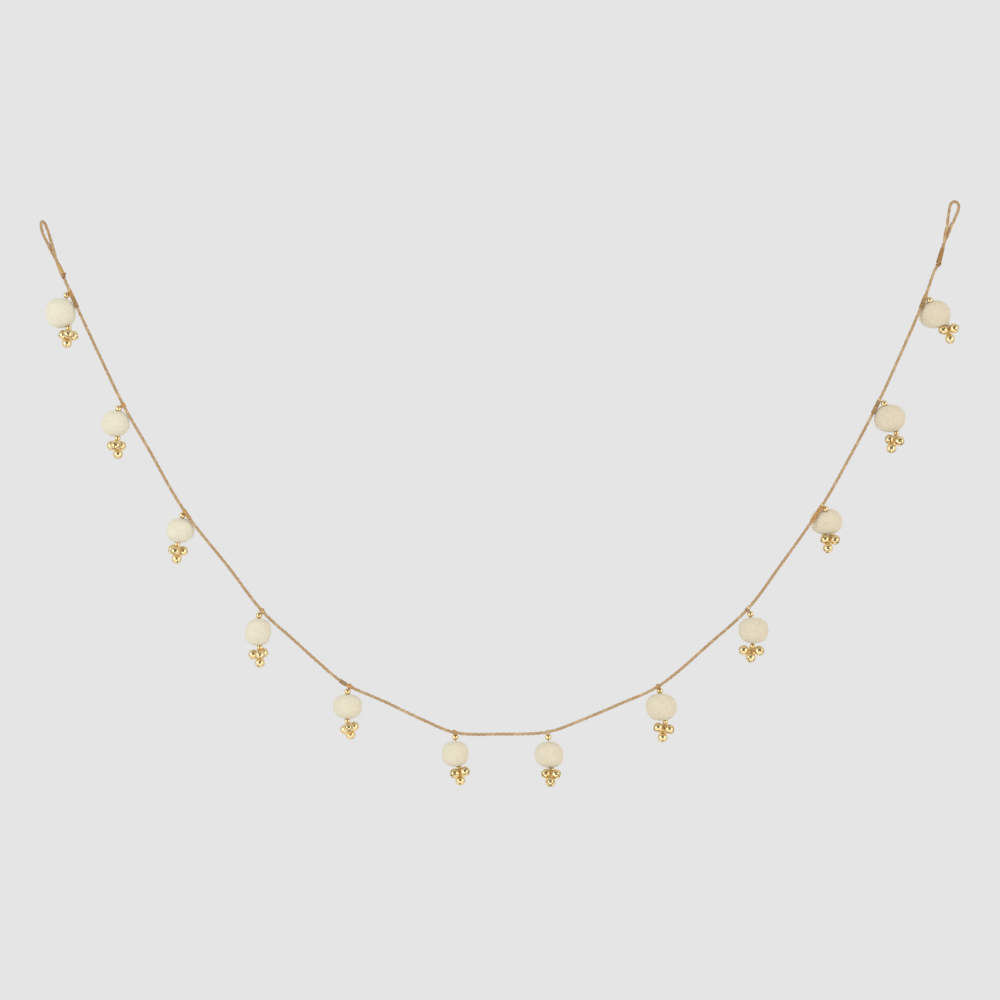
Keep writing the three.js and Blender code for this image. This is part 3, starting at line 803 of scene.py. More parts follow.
@dataclass(frozen=True)
class FeltFinish:
    """Matte wool felt: fine curled fibres over soft patches of cream, with painted light along the garland:
    lighter and cooler at the left end, darker and warmer at the right.
    """

    base: Colour = (0.638, 0.581, 0.437, 1.0)
    light: Colour = (0.68, 0.628, 0.489, 1.0)
    dark: Colour = (0.586, 0.515, 0.362, 1.0)
    fibre: Colour = (0.709, 0.66, 0.527, 1.0)
    # Painted light: the loose fibres get a colour paler than the felt, standing in for light through the
    # thin fibres and lifting their shade.
    loose: Colour = (0.83, 0.775, 0.62, 1.0)
    # Painted light: the two tints below are multiplied into the felt colour, lighter and cooler at the left
    # end, darker and warmer at the right, as the softboxes light the row.
    left_painted_light_tint: Colour = (1.01, 1.045, 1.06, 1.0)
    right_painted_shade_tint: Colour = (0.92, 0.885, 0.86, 1.0)
    fibre_share: float = 0.3
    nap_share: float = 1.4

    def make(self, effects: SharedEffects) -> bpy.types.Material:
        """Makes the material.

        Args:
            effects: The shared node groups.

        Returns:
            The material.
        """
        material, tree, shader = new_material("wool_felt")
        place = object_place(tree)
        patches = group_node(tree, effects.patches, {
            "Vector": place, "Scale": 160.0, "Amount": 0.55, "Base": self.base, "Light": self.light,
            "Dark": self.dark})
        fibres = group_node(tree, effects.fibres, {"Vector": place, "Scale": 900.0, "Curl": 1.6}).outputs
        share = maths(tree, "MULTIPLY", fibres["Mask"], self.fibre_share)
        wool = mixed(tree, share, patches.outputs[0], self.fibre)
        # Painted light: a tint that runs along X from lighter and cooler at the left end to darker and
        # warmer at the right end, multiplied into the felt colour.
        across = wire(tree, "ShaderNodeSeparateXYZ", {0: place}).outputs[0]
        tint = mixed(tree, ranged(tree, across, 0.0, RIGHT_END.top[0]), self.left_painted_light_tint, self.right_painted_shade_tint)
        nap = noise_of(tree, place, 420.0, 5.0)
        height = maths(tree, "MULTIPLY_ADD", nap, self.nap_share, fibres["Height"])
        feed(tree, shader, {
            "Base Color": multiplied(tree, wool, tint), "Normal": bumped(tree, 0.1, 0.00020, height),
            "Roughness": 1.0, "Specular IOR Level": 0.1, "Sheen Weight": 0.22, "Sheen Roughness": 0.6})
        return material

    def make_loose(self) -> bpy.types.Material:
        """Makes the material of the thin loose fibres, with painted light: a colour paler than the felt
        stands in for light through the thin fibres and lifts their shade.

        Returns:
            The material.
        """
        material, tree, shader = new_material("loose_wool")
        feed(tree, shader, {"Base Color": self.loose, "Roughness": 1.0, "Specular IOR Level": 0.1})
        return material


@dataclass(frozen=True)
class CordFinish:
    """Twisted plant-fibre cord: fibres that run along each ply, in tan with reddish and olive patches, and
    painted shade in the gaps between the fibres.
    """

    base: Colour = (0.46, 0.310, 0.160, 1.0)
    light: Colour = (0.62, 0.455, 0.270, 1.0)
    # Painted shade: the colour put in the gaps between the fibres.
    dark: Colour = (0.29, 0.180, 0.085, 1.0)
    reddish: Colour = (0.44, 0.240, 0.125, 1.0)
    gap_shade_share: float = 0.55
    gap_groove_depth: float = 1.2

    def make(self, effects: SharedEffects) -> bpy.types.Material:
        """Makes the material.

        Args:
            effects: The shared node groups.

        Returns:
            The material.
        """
        material, tree, shader = new_material("twisted_cord")
        place = object_place(tree)
        patches = group_node(tree, effects.patches, {
            "Vector": place, "Scale": 130.0, "Amount": 0.8, "Base": self.base, "Light": self.light,
            "Dark": self.reddish})
        # Painted shade: the cord colour goes towards the dark colour in the gaps between fibres, where the
        # bump also sinks.
        shaded_gaps = self._shaded_gaps(tree)
        share = maths(tree, "MULTIPLY", shaded_gaps, self.gap_shade_share)
        fibres = group_node(tree, effects.fibres, {"Vector": place, "Scale": 1500.0, "Curl": 0.8})
        height = maths(tree, "MULTIPLY_ADD", shaded_gaps, -self.gap_groove_depth, fibres.outputs["Height"])
        feed(tree, shader, {
            "Base Color": mixed(tree, share, patches.outputs[0], self.dark),
            "Normal": bumped(tree, 0.6, 0.00012, height), "Roughness": 0.85, "Specular IOR Level": 0.25})
        return material

    @staticmethod
    def _shaded_gaps(tree: bpy.types.NodeTree) -> bpy.types.NodeSocket:
        """Draws painted shade: dark lines in the gaps between the fibres, long along the ply and thin across
        it.

        Args:
            tree: The material's node tree.

        Returns:
            A mask that is one in the gaps between fibres, where shade is painted.
        """
        stretched = wire(tree, "ShaderNodeMapping", {0: thread_map(tree), "Scale": (0.35, 9.0, 1.0)})
        return masked(tree, noise_of(tree, stretched.outputs[0], 1.6, 4.0, 0.4), 0.48, 0.66)


@dataclass(frozen=True)
class ThreadFinish:
    """Fine twisted thread in the tones that the windings, whippings and knots have."""

    tones: tuple[Colour, ...] = (
        (0.66, 0.50, 0.29, 1.0), (0.40, 0.23, 0.085, 1.0), (0.54, 0.31, 0.115, 1.0),
        (0.32, 0.185, 0.062, 1.0), (0.56, 0.375, 0.165, 1.0), (0.34, 0.165, 0.075, 1.0),
        (0.50, 0.325, 0.15, 1.0), (0.38, 0.245, 0.11, 1.0))
    shades: Spot = (0.72, 1.28)
    fibre_share: float = 0.4
    slant: float = 1.1
    waves: float = 2.0

    def make(self, effects: SharedEffects) -> bpy.types.Material:
        """Makes the material.

        Args:
            effects: The shared node groups.

        Returns:
            The material.
        """
        material, tree, shader = new_material("tying_thread")
        place = object_place(tree)
        parts = wire(tree, "ShaderNodeSeparateXYZ", {0: thread_map(tree)}).outputs
        tone = maths(tree, "FLOOR", parts[1])
        colour = self.tones[0]
        for number, tint in enumerate(self.tones[1:], start=1):
            colour = mixed(tree, maths(tree, "COMPARE", tone, float(number), 0.1), colour, tint)
        shade = ranged(tree, noise_of(tree, place, 700.0, 3.0), 0.3, 0.7, *self.shades)
        fibres = group_node(tree, effects.fibres, {"Vector": place, "Scale": 2200.0, "Curl": 0.6})
        twist = self._twist(tree, parts)
        height = maths(tree, "MULTIPLY_ADD", fibres.outputs["Height"], self.fibre_share, twist)
        feed(tree, shader, {
            "Base Color": multiplied(tree, colour, shade), "Normal": bumped(tree, 0.5, 0.0001, height),
            "Roughness": 0.8, "Specular IOR Level": 0.2})
        return material

    def _twist(self, tree: bpy.types.NodeTree, parts: bpy.types.NodeOutputs) -> bpy.types.NodeSocket:
        """Draws the thread's own slanted twist.

        Args:
            tree: The material's node tree.
            parts: The separated UV coordinates.

        Returns:
            A height between zero and one.
        """
        slanted = maths(tree, "MULTIPLY_ADD", parts[0], self.slant, parts[1])
        wave = maths(tree, "SINE", maths(tree, "MULTIPLY", slanted, self.waves * 2 * math.pi))
        return maths(tree, "MULTIPLY_ADD", wave, 0.5, 0.5)


@dataclass(frozen=True)
class GoldFinish:
    """Polished gold-coloured brass with a few smudges and dimples."""

    base: Colour = (0.90, 0.70, 0.375, 1.0)
    worn: Colour = (0.80, 0.58, 0.285, 1.0)
    pale: Colour = (0.96, 0.80, 0.51, 1.0)
    roughness: Spot = (0.13, 0.27)

    def make(self, effects: SharedEffects) -> bpy.types.Material:
        """Makes the material.

        Args:
            effects: The shared node groups.

        Returns:
            The material.
        """
        material, tree, shader = new_material("polished_gold")
        place = object_place(tree)
        patches = group_node(tree, effects.patches, {
            "Vector": place, "Scale": 220.0, "Amount": 0.5, "Base": self.base, "Light": self.pale,
            "Dark": self.worn})
        marks = group_node(tree, effects.handling, {"Vector": place, "Scale": 480.0}).outputs
        feed(tree, shader, {
            "Base Color": patches.outputs[0], "Normal": bumped(tree, 0.12, 0.0002, marks["Height"]),
            "Roughness": ranged(tree, marks["Mask"], 0.0, 1.0, *self.roughness), "Metallic": 1.0})
        return material


@dataclass(frozen=True)
class Finish:
    """A material with the record's slot that it stands for."""

    material: bpy.types.Material
    slot: str

    def dress(self, piece: bpy.types.Object, *nodes: str) -> None:
        """Puts the finish on a piece and ties the piece to the frame.

        Args:
            piece: The piece.
            *nodes: CAD nodes that the piece stands for.
        """
        piece.data.materials.clear()
        piece.data.materials.append(self.material)
        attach(piece, BODY)
        if nodes:
            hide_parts(*nodes)
        LOG.info("%s: %d faces", piece.name, len(piece.data.polygons))


def loop_arc(end: LoopEnd, steps: int = 4) -> Array:
    """Gives the half circle at the top of an end loop, from the tail's side to the standing side.

    Args:
        end: The cord's end.
        steps: Number of equal steps along the arc.

    Returns:
        The arc's points.
    """
    turn, lean = math.radians(end.turn), math.radians(end.lean)
    across = np.array([math.cos(turn) * math.cos(lean), math.sin(turn), math.cos(turn) * math.sin(lean)])
    up = np.array([-math.sin(lean), 0.0, math.cos(lean)])
    centre = np.array(end.top) - LOOP_RADIUS * up
    angles = math.pi * (1 - np.arange(steps + 1) / steps)
    return centre + LOOP_RADIUS * round_about(angles, across, up)


def cord_route() -> SmoothRoute:
    """Lays the cord's route from the left tail round both loops to the right tail."""
    swag = np.array([(x, 0.0, z) for x, z in SWAG_ROUTE])
    return SmoothRoute(np.vstack([
        np.array(LEFT_END.tail)[::-1], loop_arc(LEFT_END), np.array(LEFT_END.standing), swag,
        np.array(RIGHT_END.standing)[::-1], loop_arc(RIGHT_END)[::-1], np.array(RIGHT_END.tail)]))


def hung_clear(x: float, z: float, start: float, ways: tuple[int, ...],
               hung: list[tuple[Array, float]]) -> Array:
    """Takes a bell forward or back until it just clears the pieces hung before it.

    Args:
        x: The bell's place across.
        z: The bell's height.
        start: The place from front to back where the search begins.
        ways: The directions to look in: 1 to the back, -1 to the front.
        hung: Middle and radius of each piece hung before it.

    Returns:
        The bell's middle.
    """
    reach = 0.0
    while True:
        for way in ways:
            place = np.array([x, start + way * reach, z])
            if all(np.linalg.norm(place - other) >= BELL_RADIUS + radius for other, radius in hung):
                return place
        reach += HANG_STEP


def bell_centres(plan: Pendant, low_bead: Array) -> list[Array]:
    """Hangs a pendant's bells: the left and right ones, the third one and the low one.

    Args:
        plan: The pendant's places.
        low_bead: Middle of the bead above the bells.

    Returns:
        The middles of the four bells.
    """
    x, z = plan.bells
    half = plan.spread / 2
    side = plan.third.value
    depth = low_bead[1]
    wanted = (
        (x - half, z - plan.rise / 2, depth - side * PAIR_DEPTH, (-side,)),
        (x + half, z + plan.rise / 2, depth - side * PAIR_DEPTH, (-side,)),
        (x + plan.third_at[0], z + plan.third_at[1], depth, (side,)),
        (x + plan.low_at[0], z + plan.low_at[1], depth, (Side.BACK.value, Side.FRONT.value)))
    hung = [(low_bead, LOW_BEAD_RADIUS)]
    for across, height, start, ways in wanted:
        hung.append((hung_clear(across, height, start, ways, hung), BELL_RADIUS))
    return [place for place, _ in hung[1:]]


@dataclass
class GarlandCord:
    """The garland's cord: three plies twisted together, with stray fibres."""

    route: SmoothRoute
    diameter: float = 0.003
    plies: int = 3
    ply_radius: float = 0.00095
    ply_offset: float = 0.00060
    pitch: float = 0.0165
    step: float = 0.0011
    sides: int = 9
    swell: float = 0.10
    swell_scale: float = 160.0
    swell_shift: float = 7.3
    # The fibres that stand off the plies.
    stray_fibres: int = 1500
    fibre_seed: int = 11
    fibre_margin: int = 4
    fibre_root: float = 0.0013
    fibre_radius: float = 0.000035
    fibre_lengths: Spot = (0.0010, 0.0024)
    fibre_lift: float = 0.45
    fibre_scatter: float = 0.25
    fibre_curl: float = 0.35
    fibre_droop: float = 0.15
    # Where the two strands of each end part.
    necks: tuple[Place, ...] = ((0.0090, 0.0, -0.0250), (0.9058, 0.0, -0.0058))
    neck_reach: float = 0.0066
    neck_swell: float = 0.26
    rings: Array = field(init=False)

    def build(self) -> bpy.types.Object:
        """Builds the plies and the stray fibres.

        Returns:
            The cord.
        """
        count = round(self.route.length / self.step)
        along = np.linspace(0, self.route.length, count + 1)
        self.rings = self.route.at(along)
        side, up = frames_along(self.rings)
        swollen = 1 + sum(self.neck_swell * np.exp(-(np.linalg.norm(self.rings - neck, axis=1)
                                                     / self.neck_reach) ** 2) for neck in self.necks)
        tubes = TubeSet()
        for ply in range(self.plies):
            angle = 2 * math.pi * (ply / self.plies + along / self.pitch)
            swell = np.array([
                noise.noise(Vector((a * self.swell_scale, ply * self.swell_shift, 0.0))) for a in along])
            radius = self.ply_radius * swollen * (1 + self.swell * swell)
            centres = self.rings + self.ply_offset * round_about(angle, side, up)
            tubes.add(centres, radius, self.sides, ply)
        self._add_fibres(tubes, side, up)
        return tubes.build("garland_cord")

    def _add_fibres(self, tubes: TubeSet, side: Array, up: Array) -> None:
        """Adds the fibres that stand a little off the plies.

        Args:
            tubes: Where the fibres go.
            side: First side direction along the cord.
            up: Second side direction along the cord.
        """
        chance = np.random.default_rng(self.fibre_seed)
        count = self.stray_fibres
        rows = chance.integers(self.fibre_margin, len(self.rings) - self.fibre_margin, count)
        out = round_about(chance.uniform(0, 2 * math.pi, count), side[rows], up[rows])
        onward = chance.choice([-1, 1], count)[:, None] * unit(self.rings[rows + 1] - self.rings[rows])
        lean = unit(self.fibre_lift * out + onward + self.fibre_scatter * chance.normal(size=out.shape))
        curl = self.fibre_curl * unit(chance.normal(size=out.shape)) - self.fibre_droop * out
        lengths = chance.uniform(*self.fibre_lengths, count)
        tubes.add_fibres(self.rings[rows] + self.fibre_root * out, lean, curl, lengths, self.fibre_radius)


@dataclass
class EndBinding:
    """The thread whipping that holds one end's two strands together, and the knot that finishes it."""

    end: LoopEnd
    route: SmoothRoute
    half_width: float = 0.0026
    half_depth: float = 0.0045
    top_share: float = 0.78
    thread_radius: float = 0.00033
    spacing: float = 1.86
    start: float = 0.003
    seat: float = 0.0003
    rings: int = 40
    turn_points: int = 30
    # The darker turns that cross over the others.
    cross_rings: int = 12
    cross_reach: float = 0.0008
    cross_pitch: float = 0.0016
    cross_phase: float = 0.7
    cross_radius: float = 0.0003
    cross_proud: Spot = (0.00022, 0.0001)
    cross_gaps: Spot = (0.6, 0.4)
    # The knot under the whipping: a collar, a small overhand knot and its two ends.
    knot_below: float = 0.0022
    collar_reach: float = 0.0009
    collar_proud: float = 0.00042
    collar_pitch: float = 0.0008
    collar_radius: float = 0.0004
    knot_size: float = 0.0008
    knot_radius: float = 0.00044
    knot_front: float = 0.0009
    ends: tuple[Place, ...] = ((0.5, 1.0, 0.0013), (0.1, -1.0, 0.0017))
    end_radii: Spot = (0.00048, 0.00040)

    def _line(self) -> tuple[Array, Array]:
        """Finds the whipping's middle line.

        Returns:
            The line's top and bottom.
        """
        middle = (np.array(self.end.standing) + np.array(self.end.tail)) / 2
        down = unit(middle[-1] - middle[-2])
        return middle[-2] + down * (self.start + self.seat), middle[-1] - down * self.seat

    def build_whipping(self) -> bpy.types.Object:
        """Builds the turns of thread round both strands.

        Returns:
            The whipping.
        """
        top, bottom = self._line()
        axis = np.linspace(top, bottom, self.rings)
        down = unit(bottom - top)
        side = unit(np.cross([0.0, 1.0, 0.0], down))
        sides = side * np.linspace(self.top_share, 1.0, self.rings)[:, None]
        depths = np.tile(np.cross(down, side), (self.rings, 1))
        radii = (self.half_width - self.thread_radius, self.half_depth - self.thread_radius)
        tubes = TubeSet()
        turns = helix(axis, sides, depths, radii, self.spacing * self.thread_radius, self.turn_points)
        tubes.add(turns, self.thread_radius, 6, self.end.whipping.value)
        wide = (radii[0] + self.cross_proud[0], radii[1] + self.cross_proud[1])
        reach = down * self.cross_reach
        before, after = self.cross_gaps
        for turn in range(self.end.cross_turns):
            row = round((turn + before) / (self.end.cross_turns + after) * (self.rings - 1))
            stretch = np.linspace(axis[row] - reach, axis[row] + reach, self.cross_rings)
            around = np.tile(sides[row], (self.cross_rings, 1))
            turns = helix(stretch, around, depths[:self.cross_rings], wide, self.cross_pitch,
                          self.turn_points, self.cross_phase)
            tubes.add(turns, self.cross_radius, 6, Tone.DARK.value)
        return tubes.build(f"{self.end.name}_whipping_thread")

    def build_knot(self) -> bpy.types.Object:
        """Builds the knot round the standing strand, with its two thread ends.

        Returns:
            The knot.
        """
        bottom = self.route.near(np.array(self.end.standing[-1]))
        sign = 1 if self.end is LEFT_END else -1
        tone = self.end.knot.value
        middle = bottom + sign * self.knot_below
        axis = self.route.at(np.linspace(middle - self.collar_reach, middle + self.collar_reach, 16))
        radius = CORD_RADIUS + self.collar_proud
        tubes = TubeSet()
        collar = helix(axis, *frames_along(axis), (radius, radius), self.collar_pitch)
        tubes.add(collar, self.collar_radius, 7, tone)
        outward = unit(np.cross([0.0, 1.0, 0.0], self.route.direction(middle)))
        outward = outward if outward[0] > 0 else -outward
        knot = self.route.at(middle - sign * self.knot_below) + outward * self.end.knot_out
        knot[1] -= self.knot_front
        tubes.add(overhand(knot, self.knot_size), self.knot_radius, 7, tone)
        share = np.linspace(0, 1, 10)[:, None]
        for out, rise, length in self.ends:
            lean = unit(outward * out + np.array([0.0, 0.0, rise]))
            tubes.add(knot + lean * length * share, np.linspace(*self.end_radii, 10), 6, tone)
        return tubes.build(f"{self.end.name}_knot_thread")


@dataclass
class BeadModel:
    """A polished gold bead with a drilled hole and a softly rounded rim. Modelled once for each size."""

    radius: float
    hole: float = 0.00075
    rim: float = 0.00018
    segments: int = 28
    ring_count: int = 16

    def build(self, name: str) -> bpy.types.Object:
        """Models the bead round the origin, with its hole along +Z.

        Args:
            name: Name of the model.

        Returns:
            The model.
        """
        deselect()
        bpy.ops.mesh.primitive_uv_sphere_add(segments=self.segments, ring_count=self.ring_count,
                                             radius=self.radius)
        bead = bpy.context.active_object
        bead.name = name
        reach = math.sqrt(self.radius ** 2 - self.hole ** 2)
        bpy.ops.object.mode_set(mode="EDIT")
        for way in (1, -1):
            bpy.ops.mesh.select_all(action="SELECT")
            bpy.ops.mesh.bisect(plane_co=(0, 0, way * reach), plane_no=(0, 0, way), clear_outer=True)
        bpy.ops.mesh.select_all(action="DESELECT")
        bpy.ops.mesh.select_mode(type="EDGE")
        bpy.ops.mesh.select_non_manifold()
        bpy.ops.mesh.bridge_edge_loops(number_cuts=2)
        bpy.ops.mesh.select_all(action="DESELECT")
        bpy.ops.object.mode_set(mode="OBJECT")
        for edge in bead.data.edges:
            ends = [bead.data.vertices[v].co for v in edge.vertices]
            edge.select = all(abs(abs(p.z) - reach) < MM / 1000 for p in ends)
        bpy.ops.object.mode_set(mode="EDIT")
        bpy.ops.mesh.bevel(offset=self.rim, segments=3, profile=0.5)
        bpy.ops.mesh.select_all(action="SELECT")
        bpy.ops.mesh.normals_make_consistent(inside=False)
        bpy.ops.object.mode_set(mode="OBJECT")
        bead.data.shade_smooth()
        return bead


@dataclass
class JingleBellModel:
    """A hollow jingle bell: a seam round its middle and crossed slots that end in round holes."""

    radius: float = BELL_RADIUS
    wall: float = 0.00035
    seam: float = 0.00028
    seam_proud: float = 0.00012
    slot_width: float = 0.00075
    hole_radius: float = 0.00072
    segments: int = 36
    ring_count: int = 20
    slot_tilt: float = 28.0
    slot_reach: float = 1.02
    slot_spare: float = 0.0006
    drill_depth: float = 0.003
    sharpest: float = 42.0

    def build(self) -> bpy.types.Object:
        """Models the bell round the origin, with its slots towards -Z.

        Returns:
            The model.
        """
        deselect()
        bpy.ops.mesh.primitive_uv_sphere_add(segments=self.segments, ring_count=self.ring_count,
                                             radius=self.radius - self.seam_proud)
        bell = bpy.context.active_object
        bell.name = "bell_model"
        self._raise_seam(bell)
        apply_modifier(bell, "SOLIDIFY", thickness=self.wall, offset=-1.0)
        self._cut_slots(bell)
        make_active(bell)
        bpy.ops.object.shade_smooth_by_angle(angle=math.radians(self.sharpest))
        return bell

    def _raise_seam(self, bell: bpy.types.Object) -> None:
        """Raises a narrow band round the bell's middle, where its halves meet.

        Args:
            bell: The bell.
        """
        bpy.ops.object.mode_set(mode="EDIT")
        for height in (self.seam, -self.seam):
            bpy.ops.mesh.select_all(action="SELECT")
            bpy.ops.mesh.bisect(plane_co=(0, 0, height), plane_no=(0, 0, 1))
        bpy.ops.mesh.select_mode(type="FACE")
        bpy.ops.mesh.select_all(action="DESELECT")
        bpy.ops.object.mode_set(mode="OBJECT")
        for face in bell.data.polygons:
            face.select = abs(face.center.z) < self.seam
        bpy.ops.object.mode_set(mode="EDIT")
        bpy.ops.mesh.extrude_region_shrink_fatten(
            TRANSFORM_OT_shrink_fatten={"value": self.seam_proud, "use_even_offset": True})
        bpy.ops.object.mode_set(mode="OBJECT")

    def _cut_slots(self, bell: bpy.types.Object) -> None:
        """Cuts two crossed slots and the round hole at each slot's end.

        Args:
            bell: The bell.
        """
        tilt = math.radians(self.slot_tilt)
        depth, reach = self.radius * math.sin(tilt), self.radius * math.cos(tilt)
        for quarter in range(2):
            deselect()
            bpy.ops.mesh.primitive_cube_add(size=1.0, location=(0, 0, -self.radius * 0.5 - depth * 0.5),
                                            rotation=(0, 0, quarter * math.pi / 2))
            blade = bpy.context.active_object
            blade.scale = (2 * reach * self.slot_reach, self.slot_width,
                           self.radius - depth + self.slot_spare)
            settle(blade)
            cut(bell, blade)
        for quarter in range(4):
            around = quarter * math.pi / 2
            out = Vector((math.cos(around) * math.cos(tilt), math.sin(around) * math.cos(tilt),
                          -math.sin(tilt)))
            deselect()
            bpy.ops.mesh.primitive_cylinder_add(vertices=14, radius=self.hole_radius,
                                                depth=self.drill_depth, location=out * self.radius)
            drill = bpy.context.active_object
            drill.rotation_mode = "QUATERNION"
            drill.rotation_quaternion = out.to_track_quat("Z", "Y")
            settle(drill)
            cut(bell, drill)


@dataclass
class EyeletModel:
    """The small wire eyelet on top of a bell, modelled once and fitted to the room over each bell."""

    major: float = 0.00115
    minor: float = 0.00034
    foot_radius: float = 0.0011
    foot_height: float = 0.0004
    foot_edge: float = 0.00014

    def build(self) -> bpy.types.Object:
        """Models the eyelet with its foot at the origin and its ring upright.

        Returns:
            The model.
        """
        deselect()
        bpy.ops.mesh.primitive_torus_add(major_radius=self.major, minor_radius=self.minor, major_segments=20,
                                         minor_segments=8, rotation=(math.pi / 2, 0, 0),
                                         location=(0, 0, self.major))
        ring = bpy.context.active_object
        ring.name = "eyelet_model"
        settle(ring)
        bpy.ops.mesh.primitive_cylinder_add(vertices=20, radius=self.foot_radius, depth=self.foot_height)
        foot = bpy.context.active_object
        settle(foot)
        apply_modifier(foot, "BEVEL", width=self.foot_edge, segments=2)
        joined = join([ring, foot])
        joined.data.shade_smooth()
        return joined


@dataclass
class HangingPendant:
    """One pendant with its windings, thread, beads, felt ball and bells."""

    number: int
    plan: Pendant
    route: SmoothRoute
    thread_radius: float = 0.0003
    pitch: float = 0.00057
    # The windings, and the lump where they are knotted.
    seat: float = 0.00012
    uneven: float = 0.18
    uneven_scale: float = 900.0
    lump_size: float = 0.0007
    lump_front: float = 0.0004
    # The two strands that carry the pendant.
    strand_radius: float = 0.00032
    strand_offset: float = 0.00027
    strand_pitch: float = 0.0026
    strand_step: float = 0.0004
    strand_gap: float = 0.0002
    # The felt ball, with the nap as heights and scales of noise.
    ball_depth: float = 0.97
    lump_height: float = 0.035
    lump_waves: Place = (2.3, 3.1, 2.9)
    lump_turns: Place = (1.0, 2.1, -1.7)
    nap: tuple[Spot, ...] = ((0.00020, 190.0), (0.00005, 640.0))
    dent_gap: float = 0.0002
    # The loose fibres on the felt.
    fuzz_count: int = 1250
    fuzz_gap: float = 0.0009
    fuzz_rise: Spot = (0.05, 0.75)
    fuzz_lengths: Spot = (0.0014, 0.0038)
    fuzz_radius: float = 0.000030
    fuzz_root: float = 0.0001
    fuzz_curl: float = 0.5
    fuzz_droop: float = 0.28

    def __post_init__(self) -> None:
        """Works out the places, whose depth comes from the frame."""
        self.label = f"{self.number:02d}"
        ball_y = sum(corner.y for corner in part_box(f"felt_ball_{self.label}")) / 2
        bead_y = sum(corner.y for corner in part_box(f"top_bead_{self.label}")) / 2
        low_y = LOW_BEAD_SHARE * ball_y
        plan = self.plan
        self.ball = np.array([plan.ball[0], ball_y, plan.ball[1]])
        self.top_bead = np.array([plan.top_bead[0], bead_y, plan.top_bead[1]])
        self.low_bead = np.array([plan.low_bead[0], low_y, plan.low_bead[1]])
        middle = np.array([plan.bells[0], low_y, plan.bells[1]])
        self.hub = self.low_bead + HUB_DEPTH * unit(middle - self.low_bead)
        self.bells = bell_centres(plan, self.low_bead)
        start = self.route.near(np.array(LEFT_END.standing[-1]))
        end = self.route.near(np.array(RIGHT_END.standing[-1]))
        self.tie_along = self.route.near(np.array([plan.tie[0], 0.0, plan.tie[1]]), start, end)
        self.tie = self.route.at(self.tie_along)

    def build_thread(self) -> bpy.types.Object:
        """Builds the windings round the cord and the thread that carries the pendant.

        Returns:
            The thread.
        """
        tubes = TubeSet()
        chance = np.random.default_rng(100 + self.number)
        radius = CORD_RADIUS + self.seat + self.thread_radius
        for band in self.plan.bands:
            axis = self.route.at(np.linspace(self.tie_along + band.start, self.tie_along + band.end, 30))
            pitch = self.pitch * chance.uniform(0.95, 1.05)
            turns = helix(axis, *frames_along(axis), (radius, radius), pitch, phase=chance.uniform(0, 6))
            wander = np.array([noise.noise(Vector(p * self.uneven_scale)) for p in turns])
            tubes.add(turns, self.thread_radius * (1 + self.uneven * wander), 6, band.tone.value)
        self._add_line(tubes, self.plan.bands[0].tone.value)
        if self.plan.lump:
            lump = self.tie + np.array([self.plan.lump[0], -self.lump_front, self.plan.lump[1]])
            tubes.add(overhand(lump, self.lump_size), self.strand_radius, 6, Tone.BROWN.value)
        for bell in self.bells:
            line = np.linspace(self.hub, bell + unit(self.hub - bell) * BELL_RADIUS, 5)
            tubes.add(line, self.thread_radius, 6, Tone.PALE.value)
        return tubes.build(f"pendant_thread_{self.label}")

    def _add_line(self, tubes: TubeSet, tone: int) -> None:
        """Adds the two twisted strands from the winding through the beads.

        Args:
            tubes: Where the strands go.
            tone: Tone of the thread.
        """
        down = unit(self.top_bead - self.tie)
        start = self.tie + down * (CORD_RADIUS + self.strand_gap)
        stops = np.array([start, self.top_bead, self.low_bead, self.hub])
        along = lengths_along(stops)
        steps = np.linspace(0, along[-1], max(12, int(along[-1] / self.strand_step)))
        line = read_at(steps, along, stops)
        side, up = frames_along(line)
        for strand in range(2):
            angle = math.pi * strand + 2 * math.pi * steps / self.strand_pitch
            tubes.add(line + self.strand_offset * round_about(angle, side, up), self.strand_radius, 6, tone)

    def build_ball(self) -> bpy.types.Object:
        """Builds the felt ball: lumps, fine nap and dents where beads and bells press in.

        Returns:
            The felt ball.
        """
        deselect()
        bpy.ops.mesh.primitive_ico_sphere_add(subdivisions=6, radius=1.0)
        ball = bpy.context.active_object
        ball.name = f"wool_ball_{self.label}"
        mesh = ball.data
        points = np.empty(len(mesh.vertices) * 3)
        mesh.vertices.foreach_get("co", points)
        points = unit(points.reshape(-1, 3))
        wide, high = np.array(self.plan.size) / 2
        shaped = self._lumps(points) * (wide, wide * self.ball_depth, high) + self.ball
        shaped += points * self._nap(shaped)[:, None]
        for centre, radius in self._presses():
            off = shaped - centre
            away = np.linalg.norm(off, axis=1)
            inside = away < radius
            shaped[inside] = centre + off[inside] / away[inside][:, None] * radius
        mesh.vertices.foreach_set("co", shaped.ravel())
        mesh.update()
        mesh.shade_smooth()
        return ball

    def _lumps(self, points: Array) -> Array:
        """Gives the ball's soft lumps and its slightly squared shape.

        Args:
            points: Points on a sphere of radius one.

        Returns:
            The points, moved in or out.
        """
        x, y, z = (points * self.lump_waves + (self.number - 1) * np.array(self.lump_turns)).T
        lump = np.sin(x) * np.cos(z) + np.sin(y)
        squared = np.sum(np.abs(points) ** BALL_SQUARENESS, axis=1) ** (-1 / BALL_SQUARENESS)
        return points * ((1 + self.lump_height * (lump - 1) / 2) * squared)[:, None]

    def _nap(self, points: Array) -> Array:
        """Gives the felt's uneven nap, as a small height at each point."""
        return np.array([sum(height * noise.noise(Vector(p * scale)) for height, scale in self.nap)
                         for p in points])

    def _presses(self) -> list[tuple[Array, float]]:
        """Lists the round pieces that press into the felt.

        Returns:
            The middle of each piece and the radius of its dent.
        """
        pieces = [(self.top_bead, TOP_BEAD_RADIUS), (self.low_bead, LOW_BEAD_RADIUS)]
        pieces += [(bell, BELL_RADIUS) for bell in self.bells]
        return [(centre, radius + self.dent_gap) for centre, radius in pieces]

